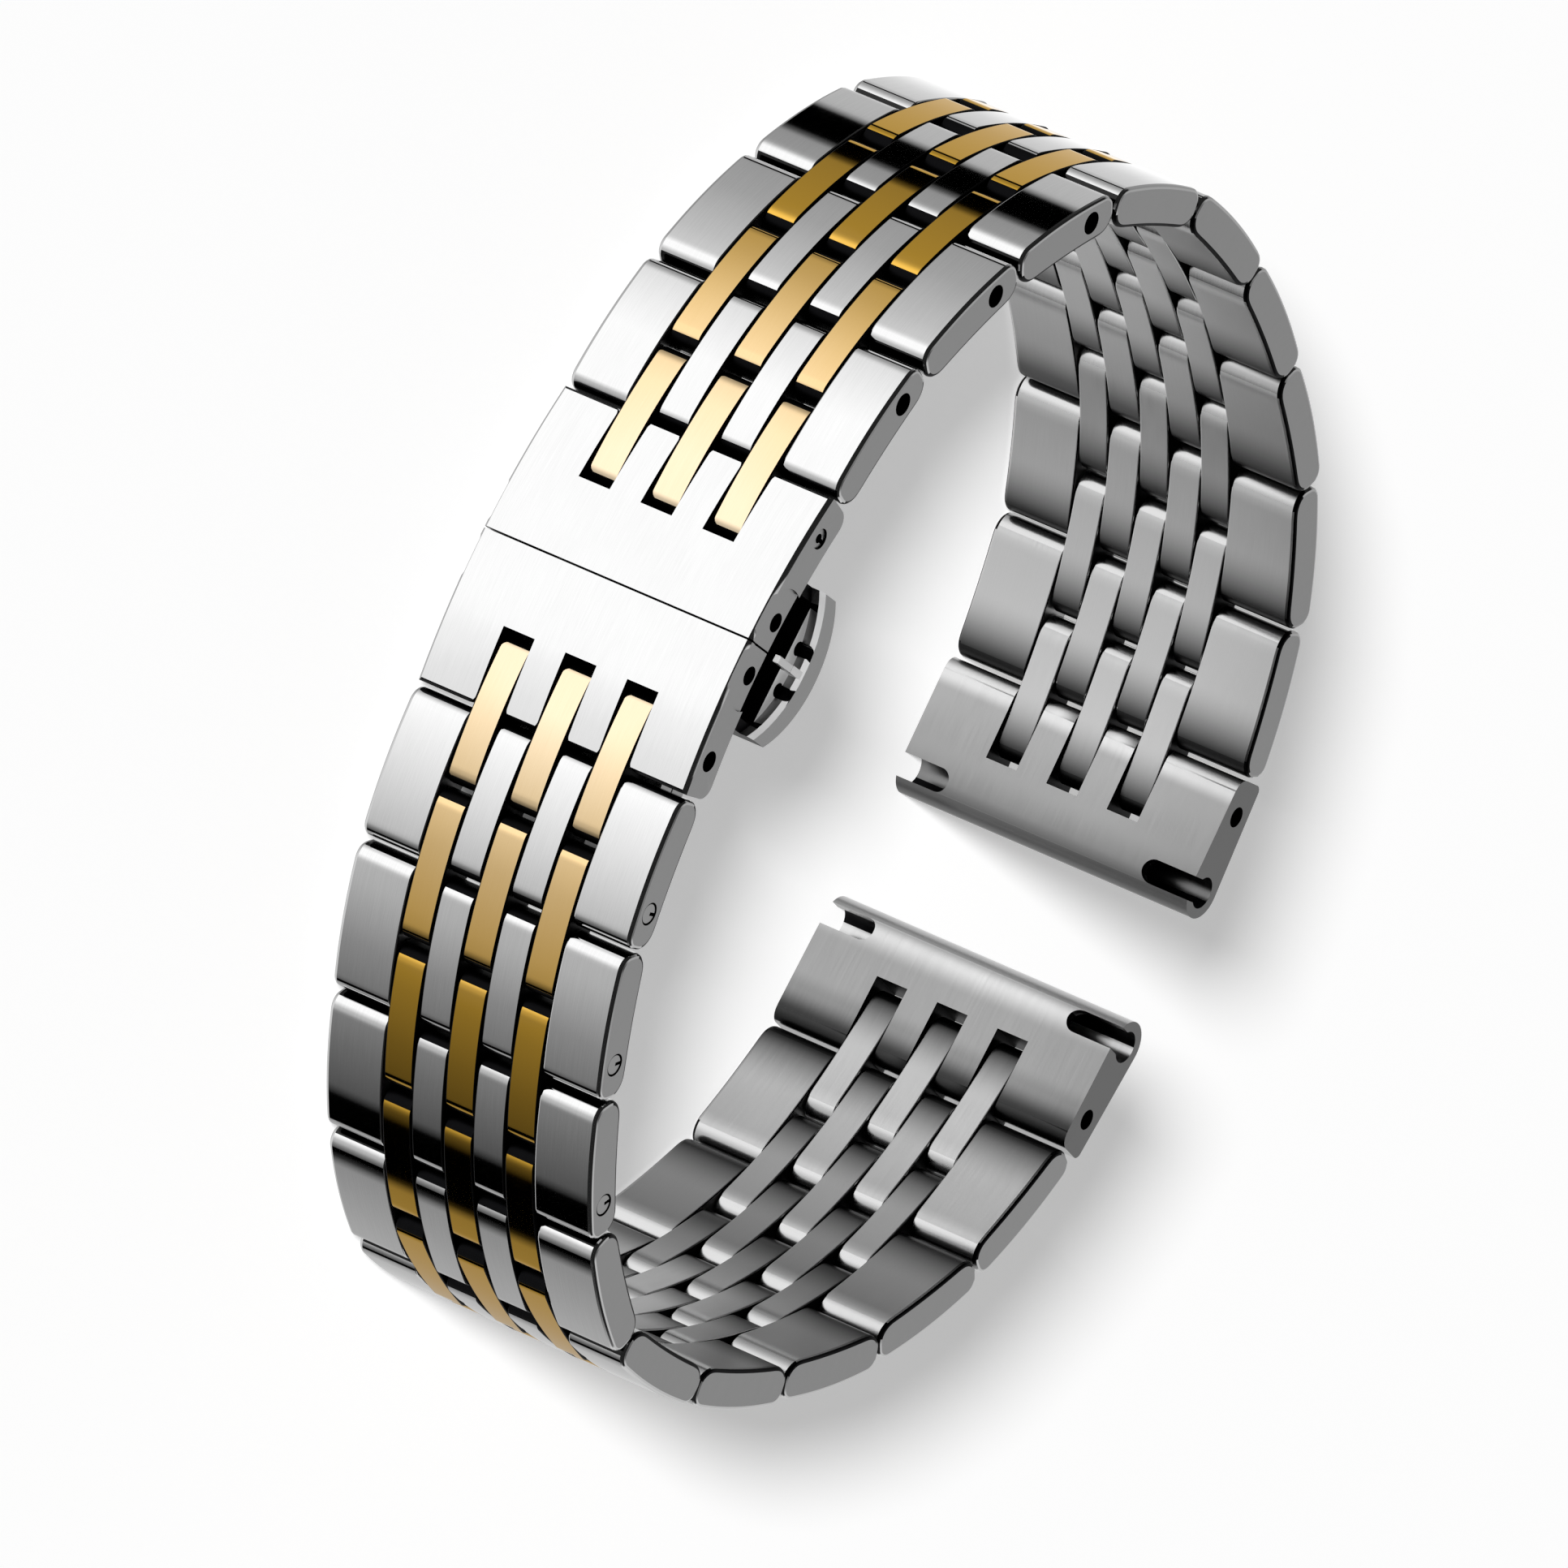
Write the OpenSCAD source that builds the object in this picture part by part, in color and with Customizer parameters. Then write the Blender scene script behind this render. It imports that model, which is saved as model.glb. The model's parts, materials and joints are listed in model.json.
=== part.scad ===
// Two-tone steel watch strap with a folding double clasp, closed and standing on its side edge
// +X runs along the clasp, -Y faces out of the clasp, +Z is across the strap

/* [Strap] */
// Full width across the lug ends
lug_width = 20; // [18:0.5:22]
// Full width at the clasp and along the removable links
clasp_width = 18; // [16:0.5:20]
// Steel rows that keep the clasp width before the taper starts
straight_rows = 4; // [2:1:6]
// Distance from one cross pin to the next
pin_pitch = 4.4; // [4.2:0.1:4.8]
// Gap left between two links of one column when straight
end_gap = 0.24; // [0.18:0.02:0.4]
// Gap between neighbouring columns
side_gap = 0.17; // [0.1:0.01:0.25]

/* [Links] */
// Thickness of a link
link_thick = 2.5; // [2.3:0.1:2.8]
// Radius of the lengthwise crown on the outer face
crown_radius = 28; // [22:1:40]
// Rounding where the outer face meets the link end
outer_round = 0.45; // [0.3:0.05:0.6]
// Rounding where the inner face meets the link end
inner_round = 0.8; // [0.6:0.05:0.9]
// Depth of the shallow hollow along the inner face
hollow_depth = 0.08; // [0.04:0.01:0.1]
// Width of a gold link
gold_width = 1.75; // [1.5:0.05:2]
// Distance between the centre lines of two gold columns
gold_spacing = 4.15; // [4:0.05:4.4]
// Bevel along the outer edge of the wide links
edge_bevel = 0.22; // [0.1:0.02:0.3]

/* [Pins] */
// Diameter of a cross pin
pin_dia = 1.1; // [0.9:0.05:1.2]
// Radial clearance of a pin in its bore
pin_clear = 0.05; // [0.03:0.01:0.08]
// Metal left over the hidden end of a pin
blind_skin = 1; // [0.6:0.1:1.4]
// Depth of a recessed pin below the side face
pin_recess = 1.3; // [0.8:0.1:2]
// Depth of a nearly flush split pin below the side face
pin_flush = 0.1; // [0.05:0.01:0.2]
// Width of the split across a pin end
split_width = 0.26; // [0.15:0.01:0.3]
// Depth of the split and its bore in a pin end
split_depth = 1.2; // [0.8:0.1:1.6]

/* [Lug ends] */
// Distance from the last cross pin to the spring bar bore
bar_reach = 4.6; // [4.3:0.1:5.2]
// Diameter of the spring bar bore
bar_bore = 1.85; // [1.6:0.05:2]
// Radius of the rounded lug tip
tip_radius = 1.52; // [1.4:0.02:1.7]
// How far the lug tip stands out of the outer face
tip_proud = 0.12; // [0:0.02:0.3]
// Length of a tool slot measured from the side face
tool_length = 3.3; // [2.5:0.1:4]
// Width of a tool slot
tool_width = 1.4; // [1.2:0.05:1.6]
// Extra room behind a gold link in its slot
slot_room = 0.34; // [0.25:0.02:0.6]

/* [Clasp] */
// Radius of the outer face of the closed clasp
clasp_radius = 39; // [34:1:46]
// Distance from the middle of the clasp to the first strap pin
head_reach = 6.7; // [6.4:0.1:7.2]
// Gap between the two heads
head_gap = 0.12; // [0.08:0.01:0.2]
// Corner rounding of the head fingers
finger_round = 0.5; // [0.3:0.05:0.7]
// Distance from the middle of the clasp to a fold pin
fold_x = 1.6; // [1.5:0.05:1.8]
// Depth of a fold pin below the middle of the head thickness
fold_y = 0.6; // [0.5:0.05:0.7]
// Diameter of the fold pins and base pins
hinge_dia = 1; // [0.8:0.05:1.1]
// Radius of the shallow facet about a fold pin
facet_radius = 2; // [1.6:0.1:2.4]
// Depth of the shallow facet about a fold pin
facet_depth = 0.15; // [0.05:0.05:0.3]
// Depth of a fold pin below the side face
fold_recess = 0.6; // [0.3:0.1:1]
// Outside radius of a fold knuckle
fold_knuckle = 1.05; // [0.95:0.05:1.1]
// Length of the neck from a fold pin to the flat of the blade
neck_length = 2.1; // [1.9:0.05:2.3]
// Half width of the folding blades and the base
blade_half = 6; // [5:0.1:6.4]
// Thickness of a folding blade
blade_thick = 1.2; // [1:0.05:1.3]
// Clearance between the stacked clasp layers
layer_clear = 0.12; // [0.08:0.01:0.2]
// Distance from the middle of the clasp to a base pin
base_x = 12.4; // [11.6:0.1:13.2]
// Outside radius of a base knuckle
base_knuckle = 1.05; // [0.95:0.05:1.15]
// Thickness of the curved base
base_thick = 1.25; // [1:0.05:1.5]
// Half width of the tongue on the outer end of a blade
tongue_half = 3.9; // [3:0.1:4.4]

/* [Push buttons] */
// Radius of the rounded button edge
button_radius = 5.9; // [5.6:0.1:6.4]
// Depth of the button edge below the middle of the head thickness
button_depth = 6.45; // [6.2:0.05:6.8]
// Half length of a button along the strap
button_half = 4.4; // [4:0.1:4.6]
// Height of a button face above the side of the head
button_proud = 0.4; // [0.2:0.05:0.6]
// Thickness of the moon shaped button rim
rim_thick = 1.7; // [1.4:0.05:2]
// Bevel round the hollow of a button
rim_bevel = 0.25; // [0.1:0.05:0.4]
// Depth of the hollow inside the rim
rim_hollow = 0.75; // [0.4:0.05:1]
// Travel of a button
button_travel = 0.6; // [0.4:0.05:0.7]
// Width of the rib across the middle of a button
rib_width = 0.44; // [0.3:0.02:0.6]
// Depth of the solid floor of a button below the middle of the head thickness
floor_depth = 3.65; // [3.4:0.05:3.8]
// Thickness of the wall at each end of a button
end_wall = 0.7; // [0.5:0.05:0.9]
// Distance of a pocket hole from the rib
pocket_x = 1.25; // [1:0.05:1.6]
// Diameter of a pocket hole
pocket_dia = 0.84; // [0.6:0.02:1]
// Depth of the stems below the middle of the head thickness
stem_depth = 4.75; // [4.6:0.05:4.9]
// Width of a button stem
stem_width = 3.2; // [2.6:0.1:3.6]
// Height of a button stem
stem_height = 1.3; // [1.1:0.05:1.5]
// Sliding clearance around a button stem
slide_clear = 0.06; // [0.04:0.01:0.1]

/* [Pose of the loop] */
// Turn of the whole clasp in the loop
clasp_tilt = -6.5; // [-20:0.5:20]
// Lean of the gold row next to each head
first_lean = 8; // [4:0.5:12]
// Turn from row to row near the clasp in the upper half
turns_a_near = [12.5, 18, 15.5, 24.5]; // [5:0.5:30]
// Turn from row to row in the middle of the upper half
turns_a_mid = [26, 13.5, 10.5]; // [5:0.5:30]
// Turn from row to row near the lug in the upper half
turns_a_far = [20, 22, 11]; // [5:0.5:30]
// Turn from row to row near the clasp in the lower half
turns_b_near = [12.5, 19.5, 12.5, 18]; // [5:0.5:30]
// Turn from row to row in the middle of the lower half
turns_b_mid = [28.5, 18, 12.5]; // [5:0.5:30]
// Turn from row to row near the lug in the lower half
turns_b_far = [18.5, 19.5, 15]; // [5:0.5:30]
// Middle of the clasp from the centre of the loop along X
clasp_at_x = -3.5; // [-10:0.1:10]
// Middle of the clasp from the centre of the loop along Y
clasp_at_y = -27.8; // [-40:0.1:-20]

/* [Hidden] */
$fn = 48;
// how far a cutter runs past the face that it opens
past = 1;
// how far a rounding is sunk so that it leaves no sliver
nick = 0.02;
steel = [0.74, 0.74, 0.75];
gold = [0.85, 0.68, 0.34];
half_t = link_thick / 2;
over = (pin_pitch - end_gap) / 2;
pin_r = pin_dia / 2;
bore_r = pin_r + pin_clear;
mid_z = lug_width / 2;
wide_in = gold_spacing + gold_width / 2 + side_gap;
narrow_w = gold_spacing - gold_width - 2 * side_gap;
slot_half = gold_width / 2 + side_gap;
mid_x = pin_pitch / 2;
crown_y = crown_radius - half_t;
ring_y = clasp_radius - half_t;
head_y = ring_y - sqrt(pow(ring_y, 2) - pow(head_reach, 2));
head_turn = asin(head_reach / ring_y);
blade_out = clasp_radius - link_thick - layer_clear;
blade_in = blade_out - blade_thick;
base_out = blade_in - layer_clear;
base_in = base_out - base_thick;
pivot_r = base_out - 0.06;
base_y = ring_y - sqrt(pow(pivot_r, 2) - pow(base_x, 2));
base_turn = asin(base_x / pivot_r);
hinge_r = hinge_dia / 2;
hinge_bore = hinge_r + pin_clear;
button_y = button_depth - button_radius;
button_top = clasp_width / 2 + button_proud;
house_gap = 0.3;
house_z = blade_half + house_gap;
button_back = house_z + button_travel + 0.2;
button_front = half_t + 0.7;
stem_end = 3.6;
barb_length = 0.6;
barb_out = 0.32;
channel_w = stem_width + 2 * slide_clear;
channel_h = stem_height + 2 * slide_clear;
channel_floor = 0.5;
spring_rise = stem_end - 0.03 - channel_floor;
spring_foot = channel_w / 2 - 0.26;
spring_thick = 0.2;
bar_y = tip_radius - half_t - tip_proud;
fork_x = base_x - base_knuckle - 0.3;
turns_a = concat(turns_a_near, turns_a_mid, turns_a_far);
turns_b = concat(turns_b_near, turns_b_mid, turns_b_far);

// heading of steel row k (10 is the lug end), from the clasp axis
function row_turn(t, k) = k < 1 ? 0 : row_turn(t, k - 1) + t[k - 1];
// heading of gold row k
function gold_turn(t, k) = k == 1 ? first_lean : (row_turn(t, k - 1) + row_turn(t, k)) / 2;
function dir(a) = [cos(a), sin(a)];
// place of the pin that starts gold row k
function gold_at(t, k) = k == 1 ? [head_reach, head_y]
    : row_at(t, k - 1) + pin_pitch * dir(row_turn(t, k - 1));
// place of the pin that starts steel row k
function row_at(t, k) = gold_at(t, k) + pin_pitch * dir(gold_turn(t, k));
// half width of the strap at the gap after steel row g
function half_w(g) = clasp_width / 2
    + (lug_width - clasp_width) / 2 * max(0, g - straight_rows) / (9 - straight_rows);

// one half of the strap is laid out along +X with its inner face towards +Y
module half_b() {
    translate([clasp_at_x, clasp_at_y, mid_z])
        rotate([0, 0, clasp_tilt])
            children();
}

module half_a() {
    half_b()
        mirror([1, 0, 0])
            children();
}

module at(p, a) {
    translate([p[0], p[1], 0])
        rotate([0, 0, a])
            children();
}

// cutter that rounds the end corner of a bar, circle centre at c
module corner(c, r, dx, dy) {
    difference() {
        translate([dx > 0 ? c[0] : c[0] - 2 * r, dy > 0 ? c[1] : c[1] - 2 * r])
            square(2 * r);
        translate(c)
            circle(r);
    }
}

// side outline of a link: crowned outer face at -Y, hollowed inner face at +Y
module bar() {
    reach = mid_x + over - outer_round;
    cy = crown_y - sqrt(pow(crown_radius - outer_round, 2) - pow(reach, 2)) - nick;
    iy = half_t - inner_round + nick / 2;
    ix = mid_x + over - inner_round;
    hollow_r = (pow(ix - 0.4, 2) + pow(hollow_depth, 2)) / (2 * hollow_depth);
    translate([mid_x, 0])
        difference() {
            intersection() {
                translate([-mid_x - over, -half_t])
                    square([2 * (mid_x + over), link_thick]);
                translate([0, crown_y])
                    circle(crown_radius, $fn = 180);
            }
            corner([reach, cy], outer_round, 1, -1);
            corner([-reach, cy], outer_round, -1, -1);
            corner([ix, iy], inner_round, 1, 1);
            corner([-ix, iy], inner_round, -1, 1);
            translate([0, half_t + hollow_r - hollow_depth])
                circle(hollow_r, $fn = 180);
        }
}

// a plain link between two heights with both bores right through
module link(z0, z1) {
    translate([0, 0, z0])
        linear_extrude(z1 - z0)
            difference() {
                bar();
                circle(bore_r);
                translate([pin_pitch, 0])
                    circle(bore_r);
            }
}

// ring that bevels the edge between an outer face of radius r and a side face at z = 0
module bevel_ring(r) {
    rotate_extrude($fn = 180)
        polygon([[r - edge_bevel - past, past], [r + past, past], [r + past, -edge_bevel - past]]);
}

// takes away what stands outside the tapered side face, and bevels its outer edge
module side_trim(w0, w1) {
    translate([mid_x, 0, (w0 + w1) / 2])
        rotate([0, -atan((w1 - w0) / (2 * pin_pitch)), 0]) {
            translate([-2 * pin_pitch, -2 * link_thick, 0])
                cube([4 * pin_pitch, 4 * link_thick, 3 * past]);
            translate([0, crown_y, 0])
                bevel_ring(crown_radius);
        }
}

// the outer, wide link of a steel row; open lets the far pin out through the side
module wide_link(k, open) {
    w0 = half_w(k - 1);
    w1 = half_w(k);
    difference() {
        translate([0, 0, wide_in])
            linear_extrude(w1 + past - wide_in)
                bar();
        side_trim(w0, w1);
        translate([0, 0, wide_in - past])
            cylinder(r = bore_r, h = w0 - blind_skin - wide_in + past);
        translate([pin_pitch, 0, wide_in - past])
            cylinder(r = bore_r, h = open ? w1 : w0 - blind_skin - wide_in + past);
    }
}

// a cross pin with a split end at the top
module pin(z0, z1, r, split) {
    difference() {
        translate([0, 0, z0])
            cylinder(r = r, h = z1 - z0);
        if (split) {
            translate([-split_width / 2, -nick, z1 - split_depth])
                cube([split_width, r + past, split_depth + past]);
            translate([0, 0, z1 - split_depth])
                cylinder(r = r / 2, h = split_depth + past);
        }
    }
}

// top of the far pin of row k: 0 hidden, 1 recessed, 2 nearly flush
function pin_top(w, kind) = kind == 0 ? w - blind_skin - 0.1 : kind == 1 ? w - pin_recess : w - pin_flush;

// four links in line and the two pins they hold
module steel_row(k, kind) {
    low = half_w(k - 1) - blind_skin - 0.1;
    wide_link(k, kind > 0);
    mirror([0, 0, 1])
        wide_link(k, false);
    link(gold_spacing / 2 - narrow_w / 2, gold_spacing / 2 + narrow_w / 2);
    link(-gold_spacing / 2 - narrow_w / 2, -gold_spacing / 2 + narrow_w / 2);
    pin(-low, low, pin_r, false);
    translate([pin_pitch, 0, 0])
        pin(-low, pin_top(kind == 0 ? half_w(k - 1) : half_w(k), kind), pin_r, kind > 0);
}

module gold_row() {
    for (z = [-gold_spacing, 0, gold_spacing])
        link(z - gold_width / 2, z + gold_width / 2);
}

// slots that take the three gold links, in the frame of the pin, opening towards +X
module gold_slots() {
    for (z = [-gold_spacing, 0, gold_spacing])
        translate([-over - slot_room, -2 * link_thick, z - slot_half])
            cube([2 * pin_pitch, 4 * link_thick, 2 * slot_half]);
}

// rounds one finger corner in plan, in the frame of the strap pin
module finger_cut(z, dz) {
    translate([over - finger_round, -2 * link_thick, z - dz * finger_round])
        rotate([-90, 0, 0])
            difference() {
                translate([0, dz > 0 ? -2 * finger_round : 0, 0])
                    cube([2 * finger_round, 2 * finger_round, 4 * link_thick]);
                translate([0, 0, -past])
                    cylinder(r = finger_round, h = 4 * link_thick + 2 * past);
            }
}

// side outline of a head: part of a ring with a rounded end
module head_outline() {
    intersection() {
        difference() {
            translate([0, ring_y])
                circle(clasp_radius, $fn = 180);
            translate([0, ring_y])
                circle(clasp_radius - link_thick, $fn = 180);
            translate([head_reach, head_y])
                rotate(head_turn) {
                    corner([over - outer_round, outer_round - half_t - nick], outer_round, 1, -1);
                    corner([over - inner_round, half_t - inner_round + nick], inner_round, 1, 1);
                    translate([over, -head_reach])
                        square(2 * head_reach);
                }
        }
        translate([head_gap / 2, -half_t - past])
            square([2 * head_reach, head_reach]);
    }
}

// bevel along the side edge of a head
module head_bevel() {
    translate([0, ring_y, clasp_width / 2])
        bevel_ring(clasp_radius);
}

module head(kind) {
    n0 = gold_spacing / 2 - narrow_w / 2;
    n1 = gold_spacing / 2 + narrow_w / 2;
    side = clasp_width / 2;
    difference() {
        translate([0, 0, -side])
            linear_extrude(clasp_width)
                head_outline();
        head_bevel();
        mirror([0, 0, 1])
            head_bevel();
        at([head_reach, head_y], head_turn) {
            gold_slots();
            translate([0, 0, blind_skin - side])
                cylinder(r = bore_r, h = clasp_width);
            for (s = [-1, 1]) {
                finger_cut(s * n0, -s);
                finger_cut(s * n1, s);
                finger_cut(s * wide_in, -s);
            }
        }
        // room for the fold knuckle of the blade
        translate([-past, fold_y - fold_knuckle - 0.1, -blade_half - 0.1])
            cube([fold_x + neck_length + 0.2 + past, 2 * link_thick, 2 * blade_half + 0.2]);
        translate([fold_x, fold_y, -side - past])
            cylinder(r = hinge_bore, h = clasp_width + 2 * past);
        // shallow round facet about the fold pin on both side faces
        for (s = [0, 1])
            mirror([0, 0, s])
                translate([fold_x, fold_y, side - facet_depth])
                    cylinder(r = facet_radius, h = past);
    }
    // fold pin
    translate([fold_x, fold_y, 0])
        pin(-side + fold_recess, side - fold_recess, hinge_r, false);
    // strap pin
    at([head_reach, head_y], head_turn)
        pin(blind_skin - side + 0.1, pin_top(side, kind), pin_r, true);
}

module lug_end() {
    side = lug_width / 2;
    difference() {
        translate([0, 0, -side])
            linear_extrude(lug_width)
                difference() {
                    union() {
                        polygon([[-over, -half_t], [bar_reach, bar_y - tip_radius],
                                 [bar_reach, bar_y + tip_radius], [-over, half_t]]);
                        translate([bar_reach, bar_y])
                            circle(tip_radius);
                    }
                    corner([outer_round - over, outer_round - half_t - nick], outer_round, -1, -1);
                    corner([inner_round - over, half_t - inner_round + 1.5 * nick], inner_round, -1, 1);
                }
        mirror([1, 0, 0])
            gold_slots();
        translate([0, 0, blind_skin - side])
            cylinder(r = bore_r, h = lug_width);
        translate([bar_reach, bar_y, -side - past])
            cylinder(r = bar_bore / 2, h = lug_width + 2 * past);
        for (s = [0, 1])
            mirror([0, 0, s]) {
                translate([bar_reach - tool_width / 2, bar_y, side - tool_length + tool_width / 2])
                    cube([tool_width, link_thick, tool_length]);
                translate([bar_reach, bar_y, side - tool_length + tool_width / 2])
                    rotate([-90, 0, 0])
                        cylinder(r = tool_width / 2, h = link_thick);
            }
    }
    pin(blind_skin - side + 0.1, side - pin_recess, pin_r, true);
}

// part of a ring between two distances from the middle
module ring_part(r0, r1, x0, x1) {
    intersection() {
        difference() {
            translate([0, ring_y])
                circle(r1, $fn = 180);
            translate([0, ring_y])
                circle(r0, $fn = 180);
        }
        translate([x0, -half_t])
            square([x1 - x0, base_x]);
    }
}

module blade() {
    // the neck leaves the knuckle under the head and runs into the flat of the blade
    neck_top = 0.2;
    neck_in = blade_thick / 2 + neck_top;
    difference() {
        union() {
            translate([0, 0, -blade_half])
                linear_extrude(2 * blade_half) {
                    ring_part(blade_in, blade_out, fold_x + neck_length / 2, fork_x);
                    translate([fold_x, fold_y])
                        circle(fold_knuckle);
                    translate([fold_x, fold_y])
                        polygon([[0, neck_top], [fold_knuckle - 0.15, neck_top],
                                 [neck_length, neck_in], [neck_length, 2 * neck_in],
                                 [neck_length / 2, fold_knuckle + 0.65], [0, fold_knuckle - nick]]);
                }
            translate([0, 0, -tongue_half])
                linear_extrude(2 * tongue_half) {
                    ring_part(blade_in, blade_out, fork_x - 0.5, base_x);
                    translate([base_x, base_y])
                        circle(base_knuckle);
                }
        }
        for (p = [[fold_x, fold_y], [base_x, base_y]])
            translate([p[0], p[1], -blade_half - past])
                cylinder(r = hinge_bore, h = 2 * (blade_half + past));
    }
}

// curved base with two forks and the housing of the push buttons
module clasp_base() {
    color(steel)
        half_b()
            difference() {
                union() {
                    translate([0, 0, -blade_half])
                        linear_extrude(2 * blade_half) {
                            ring_part(base_in, base_out, -base_x, base_x);
                            for (s = [-1, 1])
                                translate([s * base_x, base_y])
                                    circle(base_knuckle);
                        }
                    translate([0, 0, -house_z])
                        linear_extrude(2 * house_z)
                            intersection() {
                                translate([0, button_y])
                                    circle(button_radius - house_gap, $fn = 96);
                                translate([0, ring_y])
                                    circle(base_out, $fn = 180);
                                translate([house_gap - button_half, 0])
                                    square([2 * (button_half - house_gap), 2 * button_depth]);
                            }
                }
                for (s = [-1, 1]) {
                    translate([s * base_x, base_y, -blade_half - past])
                        cylinder(r = hinge_bore, h = 2 * (blade_half + past));
                    mirror([s > 0 ? 0 : 1, 0, 0])
                        translate([fork_x, base_y - 4 * base_knuckle, -tongue_half - 0.1])
                            cube([4 * base_knuckle, 8 * base_knuckle, 2 * tongue_half + 0.2]);
                    // stem channel, with a groove that stops the button
                    mirror([0, 0, s > 0 ? 0 : 1]) {
                        translate([-channel_w / 2, stem_depth - channel_h / 2, channel_floor])
                            cube([channel_w, channel_h, house_z]);
                        translate([-channel_w / 2 - barb_out, stem_depth - channel_h / 2,
                                   stem_end - button_travel - 0.1])
                            cube([channel_w + 2 * barb_out, channel_h, barb_length + button_travel + 0.3]);
                    }
                }
            }
}

module base_pins() {
    color(steel)
        half_b()
            for (s = [-1, 1])
                translate([s * base_x, base_y, -blade_half - 0.15])
                    cylinder(r = hinge_r, h = 2 * blade_half + 0.3);
}

// push button on the +Z side: a moon shaped rim with a hollow face, a rib and a stem
module button() {
    top = button_top;
    rim_y = button_y - rim_thick;
    hollow_z = top - rim_hollow;
    difference() {
        translate([0, 0, button_back])
            linear_extrude(top - button_back)
                intersection() {
                    translate([0, button_y])
                        circle(button_radius, $fn = 96);
                    translate([-button_half, button_front])
                        square([2 * button_half, 2 * button_depth]);
                }
        // hollow face inside the rim, with a bevel round it, split by the rib
        difference() {
            union() {
                translate([0, rim_y, hollow_z])
                    cylinder(r = button_radius, h = rim_hollow + past, $fn = 96);
                translate([0, rim_y, top])
                    rotate_extrude($fn = 96)
                        polygon([[0, -rim_bevel], [button_radius, -rim_bevel],
                                 [button_radius + rim_bevel + past, past], [0, past]]);
            }
            translate([-rib_width / 2, floor_depth - 0.25, hollow_z - past])
                cube([rib_width, button_depth, rim_hollow + past - 0.1]);
        }
        // the strap side of the hollow is open right through between two end walls
        intersection() {
            translate([0, rim_y, button_back - past])
                cylinder(r = button_radius, h = top - button_back + 2 * past, $fn = 96);
            translate([end_wall - button_half, -button_depth, button_back - past])
                cube([2 * (button_half - end_wall), button_depth + floor_depth,
                      top - button_back + 2 * past]);
        }
        for (s = [-1, 1])
            translate([s * pocket_x, floor_depth + 0.8, hollow_z - 0.8])
                cylinder(r = pocket_dia / 2, h = 2 * past);
    }
    translate([-stem_width / 2, stem_depth - stem_height / 2, stem_end])
        cube([stem_width, stem_height, button_back - stem_end + 0.2]);
    // barbs that the groove of the channel holds
    for (s = [-1, 1])
        translate([s * (stem_width / 2 + slide_clear) - 0.26, stem_depth - stem_height / 2, stem_end])
            cube([0.52, stem_height, barb_length]);
}

module button_right() {
    color(steel)
        half_b()
            button();
}

module button_left() {
    color(steel)
        half_b()
            mirror([0, 0, 1])
                button();
}

// bent leaf spring between the channel floor and the stem of the +Z button
module spring() {
    translate([0, stem_depth - stem_height / 2 + 0.15, channel_floor])
        rotate([-90, 0, 0])
            linear_extrude(stem_height - 0.3)
                polygon([[-spring_foot, 0], [-spring_foot, -spring_thick],
                         [0.25 - spring_foot, -spring_thick], [0, -spring_rise],
                         [spring_foot - 0.25, -spring_thick], [spring_foot, -spring_thick],
                         [spring_foot, 0], [spring_foot - 0.4, 0],
                         [0, 2 * spring_thick - spring_rise], [0.4 - spring_foot, 0]]);
}

module spring_right() {
    color(steel)
        half_b()
            spring();
}

module spring_left() {
    color(steel)
        half_b()
            mirror([0, 0, 1])
                spring();
}

module blade_a() {
    color(steel)
        half_a()
            blade();
}

module head_a() {
    color(steel)
        half_a()
            head(2);
}

module blade_b() {
    color(steel)
        half_b()
            blade();
}

module head_b() {
    color(steel)
        half_b()
            head(1);
}

module gold_a1() {
    color(gold)
        half_a()
            at(gold_at(turns_a, 1), gold_turn(turns_a, 1))
                gold_row();
}

module row_a1() {
    color(steel)
        half_a()
            at(row_at(turns_a, 1), row_turn(turns_a, 1))
                steel_row(1, 1);
}

module gold_a2() {
    color(gold)
        half_a()
            at(gold_at(turns_a, 2), gold_turn(turns_a, 2))
                gold_row();
}

module row_a2() {
    color(steel)
        half_a()
            at(row_at(turns_a, 2), row_turn(turns_a, 2))
                steel_row(2, 1);
}

module gold_a3() {
    color(gold)
        half_a()
            at(gold_at(turns_a, 3), gold_turn(turns_a, 3))
                gold_row();
}

module row_a3() {
    color(steel)
        half_a()
            at(row_at(turns_a, 3), row_turn(turns_a, 3))
                steel_row(3, 1);
}

module gold_a4() {
    color(gold)
        half_a()
            at(gold_at(turns_a, 4), gold_turn(turns_a, 4))
                gold_row();
}

module row_a4() {
    color(steel)
        half_a()
            at(row_at(turns_a, 4), row_turn(turns_a, 4))
                steel_row(4, 0);
}

module gold_a5() {
    color(gold)
        half_a()
            at(gold_at(turns_a, 5), gold_turn(turns_a, 5))
                gold_row();
}

module row_a5() {
    color(steel)
        half_a()
            at(row_at(turns_a, 5), row_turn(turns_a, 5))
                steel_row(5, 0);
}

module gold_a6() {
    color(gold)
        half_a()
            at(gold_at(turns_a, 6), gold_turn(turns_a, 6))
                gold_row();
}

module row_a6() {
    color(steel)
        half_a()
            at(row_at(turns_a, 6), row_turn(turns_a, 6))
                steel_row(6, 0);
}

module gold_a7() {
    color(gold)
        half_a()
            at(gold_at(turns_a, 7), gold_turn(turns_a, 7))
                gold_row();
}

module row_a7() {
    color(steel)
        half_a()
            at(row_at(turns_a, 7), row_turn(turns_a, 7))
                steel_row(7, 0);
}

module gold_a8() {
    color(gold)
        half_a()
            at(gold_at(turns_a, 8), gold_turn(turns_a, 8))
                gold_row();
}

module row_a8() {
    color(steel)
        half_a()
            at(row_at(turns_a, 8), row_turn(turns_a, 8))
                steel_row(8, 0);
}

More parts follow.
